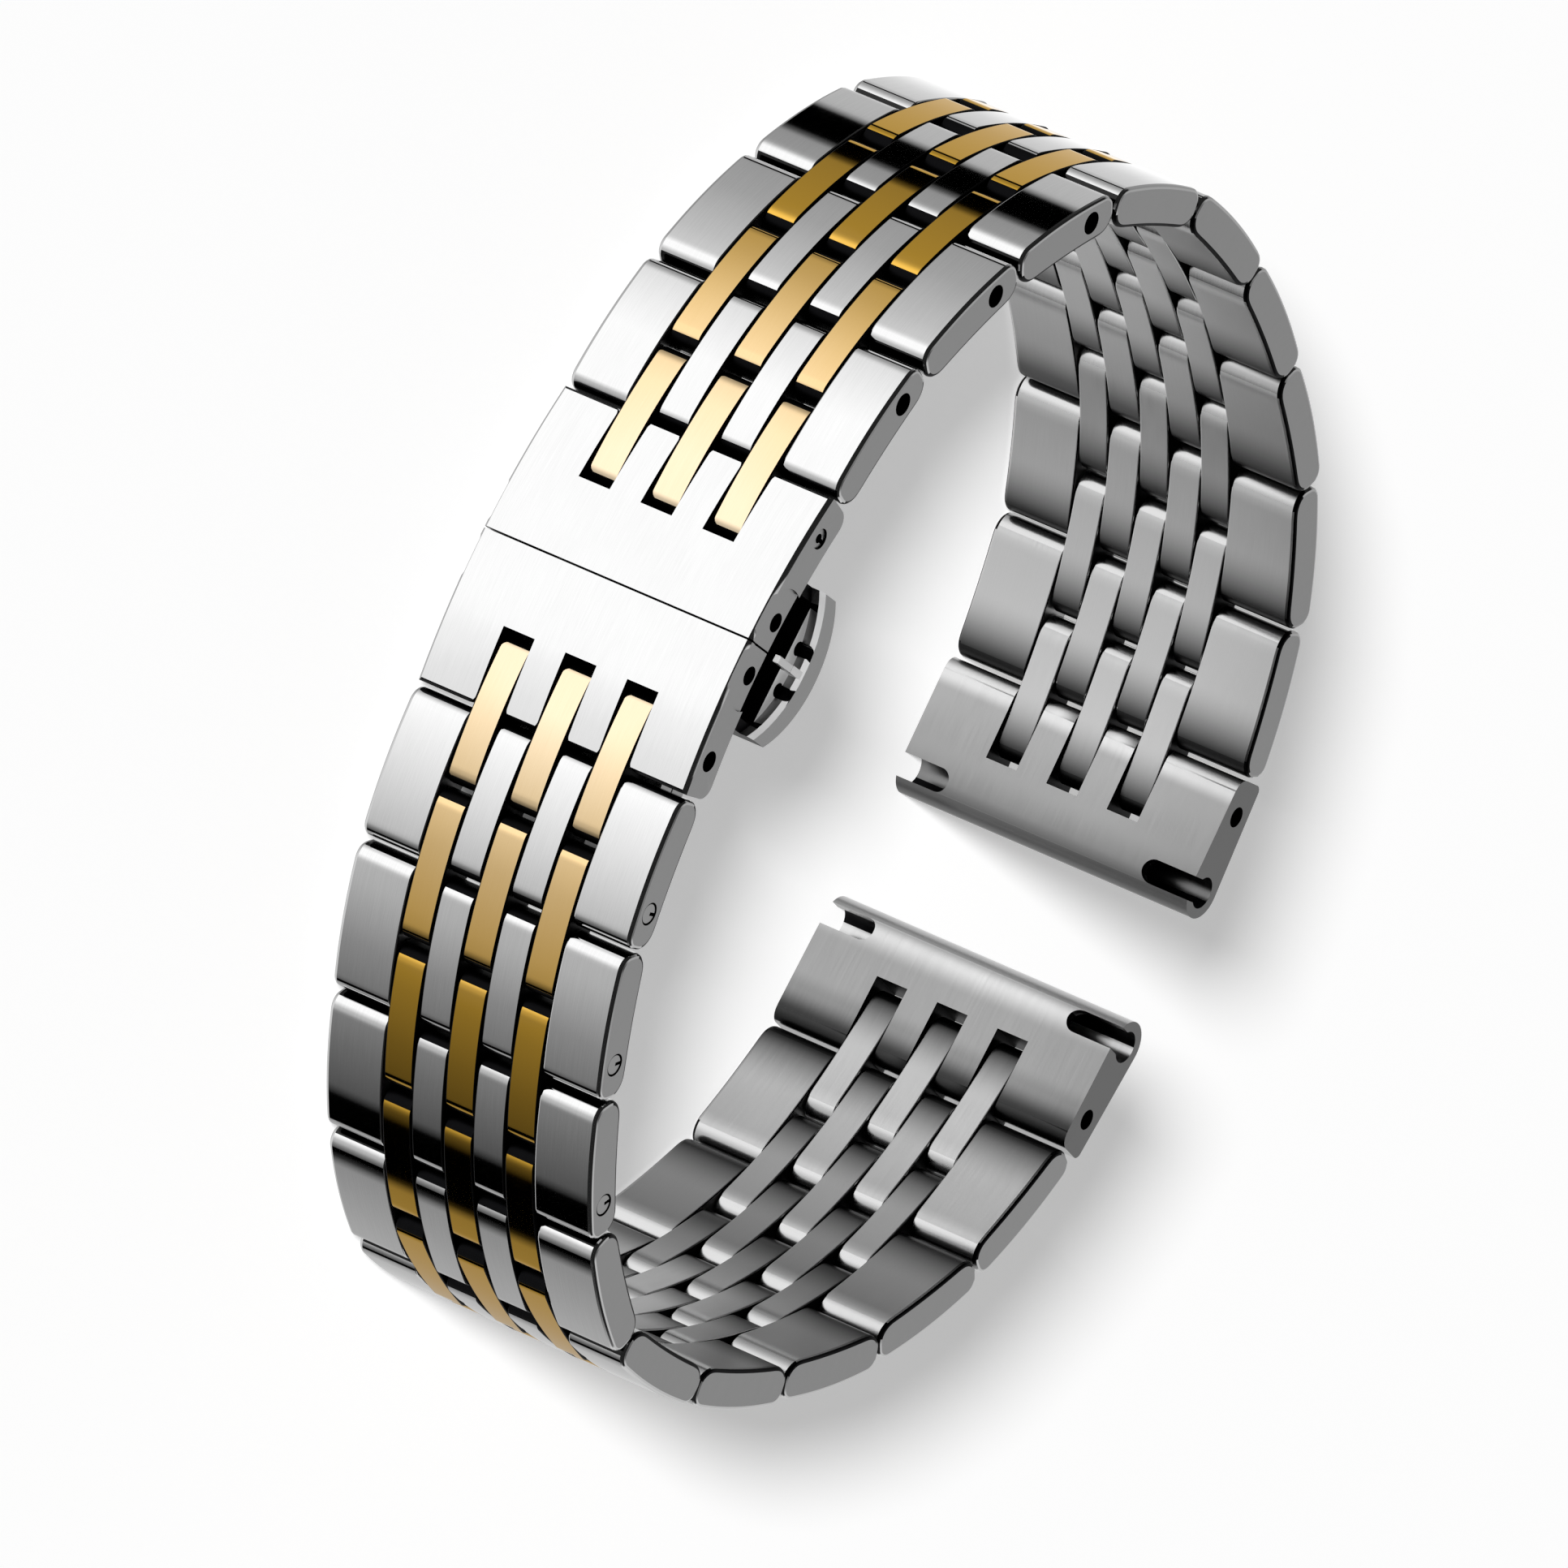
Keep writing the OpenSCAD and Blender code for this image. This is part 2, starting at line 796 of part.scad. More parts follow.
module gold_a9() {
    color(gold)
        half_a()
            at(gold_at(turns_a, 9), gold_turn(turns_a, 9))
                gold_row();
}

module row_a9() {
    color(steel)
        half_a()
            at(row_at(turns_a, 9), row_turn(turns_a, 9))
                steel_row(9, 0);
}

module gold_a10() {
    color(gold)
        half_a()
            at(gold_at(turns_a, 10), gold_turn(turns_a, 10))
                gold_row();
}

module lug_end_a() {
    color(steel)
        half_a()
            at(row_at(turns_a, 10), row_turn(turns_a, 10))
                lug_end();
}

module gold_b1() {
    color(gold)
        half_b()
            at(gold_at(turns_b, 1), gold_turn(turns_b, 1))
                gold_row();
}

module row_b1() {
    color(steel)
        half_b()
            at(row_at(turns_b, 1), row_turn(turns_b, 1))
                steel_row(1, 2);
}

module gold_b2() {
    color(gold)
        half_b()
            at(gold_at(turns_b, 2), gold_turn(turns_b, 2))
                gold_row();
}

module row_b2() {
    color(steel)
        half_b()
            at(row_at(turns_b, 2), row_turn(turns_b, 2))
                steel_row(2, 2);
}

module gold_b3() {
    color(gold)
        half_b()
            at(gold_at(turns_b, 3), gold_turn(turns_b, 3))
                gold_row();
}

module row_b3() {
    color(steel)
        half_b()
            at(row_at(turns_b, 3), row_turn(turns_b, 3))
                steel_row(3, 2);
}

module gold_b4() {
    color(gold)
        half_b()
            at(gold_at(turns_b, 4), gold_turn(turns_b, 4))
                gold_row();
}

module row_b4() {
    color(steel)
        half_b()
            at(row_at(turns_b, 4), row_turn(turns_b, 4))
                steel_row(4, 0);
}

module gold_b5() {
    color(gold)
        half_b()
            at(gold_at(turns_b, 5), gold_turn(turns_b, 5))
                gold_row();
}

module row_b5() {
    color(steel)
        half_b()
            at(row_at(turns_b, 5), row_turn(turns_b, 5))
                steel_row(5, 0);
}

module gold_b6() {
    color(gold)
        half_b()
            at(gold_at(turns_b, 6), gold_turn(turns_b, 6))
                gold_row();
}

module row_b6() {
    color(steel)
        half_b()
            at(row_at(turns_b, 6), row_turn(turns_b, 6))
                steel_row(6, 0);
}

module gold_b7() {
    color(gold)
        half_b()
            at(gold_at(turns_b, 7), gold_turn(turns_b, 7))
                gold_row();
}

module row_b7() {
    color(steel)
        half_b()
            at(row_at(turns_b, 7), row_turn(turns_b, 7))
                steel_row(7, 0);
}

module gold_b8() {
    color(gold)
        half_b()
            at(gold_at(turns_b, 8), gold_turn(turns_b, 8))
                gold_row();
}

module row_b8() {
    color(steel)
        half_b()
            at(row_at(turns_b, 8), row_turn(turns_b, 8))
                steel_row(8, 0);
}

module gold_b9() {
    color(gold)
        half_b()
            at(gold_at(turns_b, 9), gold_turn(turns_b, 9))
                gold_row();
}

module row_b9() {
    color(steel)
        half_b()
            at(row_at(turns_b, 9), row_turn(turns_b, 9))
                steel_row(9, 0);
}

module gold_b10() {
    color(gold)
        half_b()
            at(gold_at(turns_b, 10), gold_turn(turns_b, 10))
                gold_row();
}

module lug_end_b() {
    color(steel)
        half_b()
            at(row_at(turns_b, 10), row_turn(turns_b, 10))
                lug_end();
}

clasp_base();
base_pins();
blade_a();
blade_b();
head_a();
head_b();
button_left();
button_right();
spring_left();
spring_right();
gold_a1();
row_a1();
gold_a2();
row_a2();
gold_a3();
row_a3();
gold_a4();
row_a4();
gold_a5();
row_a5();
gold_a6();
row_a6();
gold_a7();
row_a7();
gold_a8();
row_a8();
gold_a9();
row_a9();
gold_a10();
lug_end_a();
gold_b1();
row_b1();
gold_b2();
row_b2();
gold_b3();
row_b3();
gold_b4();
row_b4();
gold_b5();
row_b5();
gold_b6();
row_b6();
gold_b7();
row_b7();
gold_b8();
row_b8();
gold_b9();
row_b9();
gold_b10();
lug_end_b();
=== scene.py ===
import json
import math
from functools import partial
import bmesh
import bpy
from mathutils import Matrix, Vector


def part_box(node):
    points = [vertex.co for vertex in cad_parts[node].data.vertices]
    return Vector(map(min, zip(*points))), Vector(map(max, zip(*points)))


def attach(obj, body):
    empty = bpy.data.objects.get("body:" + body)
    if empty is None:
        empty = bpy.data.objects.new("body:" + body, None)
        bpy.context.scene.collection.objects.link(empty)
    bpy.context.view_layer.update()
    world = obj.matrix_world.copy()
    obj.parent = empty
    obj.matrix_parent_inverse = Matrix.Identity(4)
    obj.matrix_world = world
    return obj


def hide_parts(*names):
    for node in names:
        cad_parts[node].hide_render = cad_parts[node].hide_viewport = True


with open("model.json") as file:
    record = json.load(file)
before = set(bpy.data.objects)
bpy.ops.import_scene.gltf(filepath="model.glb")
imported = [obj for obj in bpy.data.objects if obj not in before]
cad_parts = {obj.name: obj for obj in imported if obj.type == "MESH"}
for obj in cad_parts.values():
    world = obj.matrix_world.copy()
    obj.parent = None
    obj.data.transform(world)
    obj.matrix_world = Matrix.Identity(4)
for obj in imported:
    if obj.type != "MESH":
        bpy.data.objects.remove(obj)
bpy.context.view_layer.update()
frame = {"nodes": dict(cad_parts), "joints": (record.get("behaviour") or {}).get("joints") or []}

scene = bpy.context.scene
MM = 0.001

# Links. Each link is a bar of 316L stainless steel, 2.5 mm thick, with a lengthwise crown outside,
# a shallow hollow inside, rounded ends and broken side edges. It is pressed and milled, then
# brushed, polished or blasted face by face, and one tree draws every link of the strap.
PIN_PITCH = 4.4 * MM
LINK_LENGTH = 8.56 * MM
LINK_THICKNESS = 2.5 * MM
OUTER_ROUND = 0.80 * MM
INNER_ROUND = 1.20 * MM
CROWN_RADIUS = 28 * MM
HOLLOW_DEPTH = 0.08 * MM
HOLLOW_MARGIN = 0.3 * MM
EDGE_BREAK = 0.08 * MM
ROUND_STEPS = 8
OUTLINE_STEP = 0.13 * MM
BREAK_STEPS = 3
STATIONS = 10
LINE_STRETCH = 40
PATCH_SIZE = 4 * MM
PATCH_SHARE = 0.25
# How far a face points inwards or sideways, from 0 to 1, where its finish changes.
INWARD, INNER_FLAT = 0.1, 0.95
INNER_TURNED, OUTER_TURNED, SIDE_FLAT, FLAT_CAP = 0.15, 0.2, 0.97, 0.99


def add(tree, kind, inputs=None, **settings):
    """Adds one node with its settings, and links or fills its inputs. A node stands for its first
    output."""
    node = tree.nodes.new(kind)
    for name, value in settings.items():
        setattr(node, name, value)
    for key, value in (inputs or {}).items():
        if isinstance(value, bpy.types.Node):
            value = value.outputs[0]
        if isinstance(value, bpy.types.NodeSocket):
            tree.links.new(value, node.inputs[key])
        else:
            node.inputs[key].default_value = value
    return node


def to_linear(hex_colour):
    """Turns an sRGB hex colour into linear values."""
    channels = [int(hex_colour[i:i + 2], 16) / 255 for i in (0, 2, 4)]
    return [c / 12.92 if c <= 0.04045 else ((c + 0.055) / 1.055) ** 2.4 for c in channels] + [1]


def metal(name, light, dark, roughness, streak, line_mm, anisotropy=0.0, relief=0.0, metallic=1.0):
    """Bare metal with fine lines along the strap and faint patches. They mix the two colours, and
    streak is how much they change the gloss. Lines of 0.01 mm are too fine to show, so they are
    drawn as wide as line_mm."""
    material = bpy.data.materials.new(name)
    material.use_nodes = True
    node = partial(add, material.node_tree)
    link = material.node_tree.links.new
    shader = material.node_tree.nodes["Principled BSDF"].inputs
    shader["Metallic"].default_value = metallic
    shader["Anisotropic"].default_value = anisotropy
    shader["Anisotropic Rotation"].default_value = 0.25
    place = node("ShaderNodeTexCoord").outputs["Object"]
    along, across = 1 / (LINE_STRETCH * line_mm * MM), 1 / (line_mm * MM)
    lines = node("ShaderNodeMapping", {"Vector": place, "Scale": (along, along, across)})
    noise = node("ShaderNodeTexNoise",
                 {"Vector": lines, "Scale": 1.0, "Detail": 3.0, "Roughness": 0.6})
    patches = node("ShaderNodeTexNoise", {"Vector": place, "Scale": 1 / PATCH_SIZE, "Detail": 2.0})
    patch_share = node("ShaderNodeMath", {0: patches, 1: PATCH_SHARE}, operation="MULTIPLY")
    share = node("ShaderNodeMath", {0: noise, 1: 1 - PATCH_SHARE, 2: patch_share},
                 operation="MULTIPLY_ADD")
    gloss = node("ShaderNodeMapRange", {"Value": share, "From Min": 0.3, "From Max": 0.7,
                                        "To Min": roughness - streak, "To Max": roughness + streak})
    link(gloss.outputs[0], shader["Roughness"])
    tint = node("ShaderNodeMix", {0: share, 6: to_linear(dark), 7: to_linear(light)},
                data_type="RGBA")
    link(tint.outputs[2], shader["Base Color"])
    if anisotropy:
        radial = node("ShaderNodeTangent", direction_type="RADIAL", axis="Z")
        link(radial.outputs[0], shader["Tangent"])
    if relief:
        bump = node("ShaderNodeBump", {"Height": noise, "Strength": relief, "Distance": 0.01 * MM})
        link(bump.outputs[0], shader["Normal"])
    return material


def tone(material, share, second, blend="MIX"):
    """Brings a second colour into a material's own colour by a share of 0 to 1."""
    colour = material.node_tree.nodes["Principled BSDF"].inputs["Base Color"]
    own = colour.links[0].from_socket
    mixed = add(material.node_tree, "ShaderNodeMix", {0: share, 6: own, 7: second},
                data_type="RGBA", blend_type=blend)
    material.node_tree.links.new(mixed.outputs[2], colour)


# Outer faces are brushed along the strap. The brush lines draw each reflection out across the link,
# so the faces look silky and turn from white to black round the curl.
brushed_steel = metal("brushed_steel", "e6e6e6", "d0d0d0", 0.048, 0.010, 0.06, anisotropy=0.5)
# Broken edges of the wide links are polished. They show as crisp lines with sharp reflections.
polished_steel = metal("polished_steel", "dcdcdc", "d2d2d2", 0.09, 0.02, 0.06)
# Rounded outer ends of the wide links are polished, and their near-black colour is painted shade
# that frames each link darkly.
rounded_end_shade_steel = metal("polished_ends_painted_shade", "303030", "262626", 0.12, 0.02, 0.06)
# Side faces are blasted with fine glass beads. They are an even, matt grey from every side.
satin_steel = metal("blasted_steel", "bababa", "a6a6a6", 0.36, 0.04, 0.05, relief=0.12)
# Dull, near-black steel is painted shade: it gives the gaps, holes, slots, saw cuts and hidden faces
# their black.
gap_shade_steel = metal("painted_shade_steel", "1c1c1e", "0c0c0d", 0.42, 0.05, 0.05)
# Rounded inner ends on the clasp side are worn bright, and catch the light as a soft band.
polished_inner_steel = metal("polished_inner_steel", "d2d2d2", "c6c6c6", 0.20, 0.03, 0.06)
# Rounded inner ends on the lug side get a dark grey, which is painted shade.
shaded_steel = metal("painted_shade_inner_steel", "363636", "2c2c2c", 0.36, 0.05, 0.06)
# Inner faces have a satin finish with wide, soft highlights. Each face is also painted darker
# towards the lug end of its link, a painted shade that fades it from light grey to dark.
inner_steel = metal("inner_satin_painted_shade_steel", "d8d8d8", "cacaca", 0.33, 0.05, 0.06, anisotropy=0.4)
node = partial(add, inner_steel.node_tree)
lug_share = node("ShaderNodeAttribute", attribute_name="lug_share").outputs["Fac"]
fade = node("ShaderNodeMapRange", {"Value": lug_share, "From Min": 0.05, "From Max": 0.95},
            interpolation_type="SMOOTHSTEP")
tone(inner_steel, fade, to_linear("303030"))


def new_tree(name, inputs):
    """Starts a Geometry Nodes tree with named inputs and one geometry output."""
    tree = bpy.data.node_groups.new(name, "GeometryNodeTree")
    for label, kind in inputs.items():
        tree.interface.new_socket(name=label, in_out="INPUT", socket_type=kind)
    tree.interface.new_socket(name="Geometry", in_out="OUTPUT", socket_type="NodeSocketGeometry")
    given = tree.nodes.new("NodeGroupInput").outputs
    return tree, given, tree.nodes.new("NodeGroupOutput").inputs[0]


def link_tree():
    """A bar from Low to High along Z, its pins at x = 0 and x = pitch, its inner face towards +Y.
    Low Break and High Break are the sizes of its side edges, and Taper leans its High side along
    the strap. Faces that point outwards by more than Outer Limit are brushed. Clasp Side is 1 where
    the clasp lies towards +X, and -1 where it lies towards -X."""
    number, finish = "NodeSocketFloat", "NodeSocketMaterial"
    tree, given, result = new_tree("link", {
        "Low": number, "High": number, "Low Break": number, "High Break": number, "Taper": number,
        "Outer Limit": number, "Clasp Side": number,
        "Outer": finish, "Outer Edge": finish, "Round": finish, "Side": finish,
        "Inner": finish, "Inner Edge": finish, "Inner Round": finish, "Shaded Round": finish})
    node = partial(add, tree)

    # The outline of the link, seen from its side face. The first two corners are the inner ones.
    block = node("GeometryNodeCurvePrimitiveQuadrilateral",
                 {"Width": LINK_LENGTH, "Height": LINK_THICKNESS})
    is_inner = node("FunctionNodeCompare", {2: node("GeometryNodeInputIndex"), 3: 2},
                    data_type="INT", operation="LESS_THAN")
    radius = node("GeometryNodeSwitch", {0: is_inner, 1: OUTER_ROUND, 2: INNER_ROUND},
                  input_type="FLOAT")
    rounded = node("GeometryNodeFilletCurve",
                   {"Curve": block, "Radius": radius, "Count": ROUND_STEPS}, mode="POLY")
    fine = node("GeometryNodeResampleCurve", {"Curve": rounded, "Length": OUTLINE_STEP},
                mode="LENGTH")
    outline = node("GeometryNodeCaptureAttribute", {"Geometry": fine}, domain="POINT")
    outline.capture_items.new("VECTOR", "Outward")
    tree.links.new(node("GeometryNodeInputNormal").outputs[0], outline.inputs["Outward"])

    # Stations across the width. The first and the last ones step round a quarter circle, which
    # breaks the side edges, and those between lie on the bar's full size.
    line = node("GeometryNodeCurvePrimitiveLine", {"End": (0, 0, 1)})
    path = node("GeometryNodeResampleCurve", {"Curve": line, "Count": STATIONS}, mode="COUNT")
    station = node("GeometryNodeInputIndex")
    to_last = node("ShaderNodeMath", {0: STATIONS - 1, 1: station}, operation="SUBTRACT")
    from_end = node("ShaderNodeMath", {0: station, 1: to_last}, operation="MINIMUM")
    is_low = node("ShaderNodeMath", {0: station, 1: STATIONS / 2}, operation="LESS_THAN")
    turn = node("ShaderNodeMath", {0: from_end, 1: math.radians(90 / BREAK_STEPS)},
                operation="MULTIPLY")
    quarter = node("ShaderNodeMath", {0: turn, 1: math.pi / 2}, operation="MINIMUM")
    size = node("GeometryNodeSwitch", {0: is_low, 1: given["High Break"], 2: given["Low Break"]},
                input_type="FLOAT")
    cosine = node("ShaderNodeMath", {0: turn}, operation="COSINE")
    fall = node("ShaderNodeMath", {0: 1.0, 1: cosine}, operation="SUBTRACT")
    step = node("ShaderNodeMath", {0: size, 1: fall}, operation="MULTIPLY")
    sine = node("ShaderNodeMath", {0: quarter}, operation="SINE")
    short = node("ShaderNodeMath", {0: 1.0, 1: sine}, operation="SUBTRACT")
    inset = node("ShaderNodeMath", {0: size, 1: short}, operation="MULTIPLY")
    from_high = node("ShaderNodeMath", {0: given["High"], 1: step}, operation="SUBTRACT")
    from_low = node("ShaderNodeMath", {0: given["Low"], 1: step}, operation="ADD")
    height = node("GeometryNodeSwitch", {0: is_low, 1: from_high, 2: from_low}, input_type="FLOAT")
    kept = node("GeometryNodeCaptureAttribute", {"Geometry": path}, domain="POINT")
    kept.capture_items.new("FLOAT", "Inset")
    tree.links.new(inset.outputs[0], kept.inputs["Inset"])
    on_axis = node("ShaderNodeCombineXYZ", {2: height})
    rail = node("GeometryNodeSetPosition", {"Geometry": kept, "Position": on_axis})
    swept = node("GeometryNodeCurveToMesh",
                 {"Curve": rail, "Profile Curve": outline, "Fill Caps": True})
    depth = node("ShaderNodeMath", {0: kept.outputs["Inset"], 1: -1.0}, operation="MULTIPLY")
    back_in = node("ShaderNodeVectorMath", {0: outline.outputs["Outward"], "Scale": depth},
                   operation="SCALE")
    broken = node("GeometryNodeSetPosition", {"Geometry": swept, "Offset": back_in})

    # Crown outside, hollow inside, and the lean of the side face where the strap widens. The outer
    # share is 1 on the outer face and 0 on the inner one.
    where = node("ShaderNodeSeparateXYZ", {0: node("GeometryNodeInputPosition")}).outputs
    squared = node("ShaderNodeMath", {0: where[0], 1: where[0]}, operation="MULTIPLY")
    outer_share = node("ShaderNodeMath", {0: where[1], 1: -1 / LINK_THICKNESS, 2: 0.5},
                       operation="MULTIPLY_ADD")
    bow = node("ShaderNodeMath", {0: squared, 1: 1 / (2 * CROWN_RADIUS)}, operation="MULTIPLY")
    crown = node("ShaderNodeMath", {0: outer_share, 1: bow}, operation="MULTIPLY")
    inner_dip = node("ShaderNodeMath", {0: where[1], 1: HOLLOW_DEPTH / LINK_THICKNESS,
                                        2: HOLLOW_DEPTH / 2}, operation="MULTIPLY_ADD")
    reach = LINK_LENGTH / 2 - INNER_ROUND - HOLLOW_MARGIN
    bowl = node("ShaderNodeMath", {0: squared, 1: -1 / reach ** 2, 2: 1.0},
                operation="MULTIPLY_ADD", use_clamp=True)
    hollow = node("ShaderNodeMath", {0: inner_dip, 1: bowl}, operation="MULTIPLY")
    rise = node("ShaderNodeMath", {0: crown, 1: hollow}, operation="SUBTRACT")
    from_foot = node("ShaderNodeMath", {0: where[2], 1: given["Low"]}, operation="SUBTRACT")
    width = node("ShaderNodeMath", {0: given["High"], 1: given["Low"]}, operation="SUBTRACT")
    height_share = node("ShaderNodeMath", {0: from_foot, 1: width}, operation="DIVIDE")
    slope = node("ShaderNodeMath", {0: where[0], 1: given["Taper"]}, operation="MULTIPLY")
    lean = node("ShaderNodeMath", {0: slope, 1: height_share}, operation="MULTIPLY")
    shaping = node("ShaderNodeCombineXYZ", {0: PIN_PITCH / 2, 1: rise, 2: lean})
    shaped = node("GeometryNodeSetPosition", {"Geometry": broken, "Offset": shaping})

    # Which way each face points decides its finish. The later zones lie over the earlier ones. How
    # far a face lies towards the lug end goes to the inner steel as an attribute, which paints shade
    # on the inner faces there.
    facing = node("ShaderNodeSeparateXYZ", {0: node("GeometryNodeInputNormal")}).outputs
    sideways = node("ShaderNodeMath", {0: facing[2]}, operation="ABSOLUTE")
    is_curved = node("ShaderNodeMath", {0: sideways, 1: FLAT_CAP}, operation="LESS_THAN")
    piece = node("GeometryNodeSetShadeSmooth", {"Geometry": shaped, "Shade Smooth": is_curved})
    past_middle = node("ShaderNodeMath", {0: where[0], 1: -PIN_PITCH / 2}, operation="ADD")
    towards_clasp = node("ShaderNodeMath", {0: past_middle, 1: given["Clasp Side"]},
                         operation="MULTIPLY")
    share = node("ShaderNodeMath", {0: towards_clasp, 1: -2 / LINK_LENGTH}, operation="MULTIPLY")
    piece = node("GeometryNodeStoreNamedAttribute",
                 {"Geometry": piece, "Name": "lug_share", "Value": share},
                 data_type="FLOAT", domain="POINT")
    on_lug_side = node("ShaderNodeMath", {0: towards_clasp, 1: 0.0}, operation="LESS_THAN")
    inward = node("ShaderNodeMath", {0: facing[1], 1: INWARD}, operation="GREATER_THAN")
    not_inward = node("ShaderNodeMath", {0: facing[1], 1: INWARD}, operation="LESS_THAN")
    inner_turned = node("ShaderNodeMath", {0: sideways, 1: INNER_TURNED}, operation="GREATER_THAN")
    outer_turned = node("ShaderNodeMath", {0: sideways, 1: OUTER_TURNED}, operation="GREATER_THAN")
    shaded = node("ShaderNodeMath", {0: inward, 1: on_lug_side}, operation="MULTIPLY")
    inner_edge = node("ShaderNodeMath", {0: inward, 1: inner_turned}, operation="MULTIPLY")
    outer_face = node("ShaderNodeMath", {0: facing[1], 1: given["Outer Limit"]},
                      operation="LESS_THAN")
    outer_edge = node("ShaderNodeMath", {0: not_inward, 1: outer_turned}, operation="MULTIPLY")
    inner_face = node("ShaderNodeMath", {0: facing[1], 1: INNER_FLAT}, operation="GREATER_THAN")
    side_face = node("ShaderNodeMath", {0: sideways, 1: SIDE_FLAT}, operation="GREATER_THAN")
    # The rows fill Round and Shaded Round with near-black and dark grey steel, painted shade on the
    # rounded ends.
    zones = {"Round": None, "Inner Round": inward, "Shaded Round": shaded, "Inner Edge": inner_edge,
             "Outer": outer_face, "Outer Edge": outer_edge, "Inner": inner_face, "Side": side_face}
    for label, chosen in zones.items():
        piece = node("GeometryNodeSetMaterial", {"Geometry": piece, "Material": given[label]})
        if chosen:
            tree.links.new(chosen.outputs[0], piece.inputs["Selection"])
    tree.links.new(piece.outputs[0], result)
    return tree


LINK = link_tree()

# Cross pins. Forty rods of drawn steel, 1.1 mm thick, hold the strap together. They are pressed
# into the steel links and turn in the gold ones. Most end blind under the side faces, and the ends
# that show are split by a saw cut.
PIN_DIAMETER = 1.1 * MM
PIN_SIDES = 32
SPLIT_WIDTH = 0.2 * MM
SPLIT_DEPTH = 0.6 * MM
SPLIT_SHIFT = 0.6 * PIN_DIAMETER
# Drawn stainless steel, dulled in use, shows as a plain, softly shining grey.
pin_steel = metal("drawn_steel_pins", "bcbcbc", "acacac", 0.32, 0.05, 0.05)
# The pins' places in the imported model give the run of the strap. It goes from one lug end past the
# clasp to the other lug end, so the inner side of the strap is always on its left.
pin_place = {joint["name"]: Vector(joint["pos_m"]) for joint in frame["joints"]
             if "pin_" in joint["name"]}


def pin_tree():
    """A rod along Z at x = Along, as far below the strap's middle as Depth and up to Top."""
    number = "NodeSocketFloat"
    tree, given, result = new_tree("cross_pin", {"Along": number, "Depth": number, "Top": number,
                                                 "Split": "NodeSocketBool"})
    node = partial(add, tree)
    length = node("ShaderNodeMath", {0: given["Top"], 1: given["Depth"]}, operation="ADD")
    rise = node("ShaderNodeMath", {0: given["Top"], 1: given["Depth"]}, operation="SUBTRACT")
    half_rise = node("ShaderNodeMath", {0: rise, 1: 0.5}, operation="MULTIPLY")
    centre = node("ShaderNodeCombineXYZ", {0: given["Along"], 2: half_rise})
    rod = node("GeometryNodeMeshCylinder", {"Vertices": PIN_SIDES, "Radius": PIN_DIAMETER / 2,
                                            "Depth": length})
    rod = node("GeometryNodeTransform", {"Geometry": rod, "Translation": centre})
    rod = node("GeometryNodeSetMaterial", {"Geometry": rod, "Material": pin_steel})
    saw = node("GeometryNodeMeshCube", {"Size": (SPLIT_WIDTH, PIN_DIAMETER, 2 * SPLIT_DEPTH)})
    # The saw cut's faces take the near-black steel, painted shade in the slit.
    saw = node("GeometryNodeSetMaterial", {"Geometry": saw, "Material": gap_shade_steel})
    end = node("ShaderNodeCombineXYZ", {0: given["Along"], 1: SPLIT_SHIFT, 2: given["Top"]})
    saw = node("GeometryNodeTransform", {"Geometry": saw, "Translation": end})
    cut = node("GeometryNodeMeshBoolean", {"Mesh 1": rod, "Mesh 2": saw},
               operation="DIFFERENCE", solver="EXACT")
    pin = node("GeometryNodeSwitch", {"Switch": given["Split"], "False": rod, "True": cut},
               input_type="GEOMETRY")
    tree.links.new(pin.outputs[0], result)
    return tree


PIN = pin_tree()

# Steel rows. Each is two wide and two narrow links in line on two pressed-in cross pins. Four rows
# keep the width of the clasp, and then they widen evenly towards the lug ends. In the first three
# rows of each half one pin shows: deep in its hole in half a, nearly flush in half b.
ROWS = 9
STRAIGHT_ROWS = 4
OPEN_ROWS = 3
CLASP_HALF = 9 * MM
LUG_HALF = 10 * MM
GOLD_SPACING = 4.15 * MM
GOLD_WIDTH = 1.75 * MM
SIDE_GAP = 0.17 * MM
WIDE_INNER = GOLD_SPACING + GOLD_WIDTH / 2 + SIDE_GAP
NARROW_WIDTH = GOLD_SPACING - GOLD_WIDTH - 2 * SIDE_GAP
SIDE_BREAK = 0.24 * MM
PIN_COVER = 1.1 * MM
PIN_RECESS = {"a": 1.3 * MM, "b": 0.05 * MM}
PIN_HOLE = 1.32 * MM
DRILL_LENGTH = 8 * MM
DRILL_HEIGHT = CLASP_HALF + 2 * MM
CRISP_ANGLE = math.radians(12)


def half_width(gap):
    """Half the strap's width at the gap after steel row number gap."""
    widening = max(0, gap - STRAIGHT_ROWS)
    return CLASP_HALF + (LUG_HALF - CLASP_HALF) * widening / (ROWS - STRAIGHT_ROWS)


def placed(tree, geometry, given):
    """Keeps the crisp edges of a row laid out along +X, turns it to its heading and sets it on its
    first pin."""
    node = partial(add, tree)
    whole = node("GeometryNodeRealizeInstances", {0: geometry})
    gentle = node("ShaderNodeMath", {0: node("GeometryNodeInputMeshEdgeAngle"), 1: CRISP_ANGLE},
                  operation="LESS_THAN")
    crisp = node("GeometryNodeSetShadeSmooth", {"Geometry": whole, "Shade Smooth": gentle},
                 domain="EDGE")
    turn = node("ShaderNodeCombineXYZ", {2: given["Heading"]})
    return node("GeometryNodeTransform",
                {"Geometry": crisp, "Translation": given["Place"], "Rotation": turn}).outputs[0]


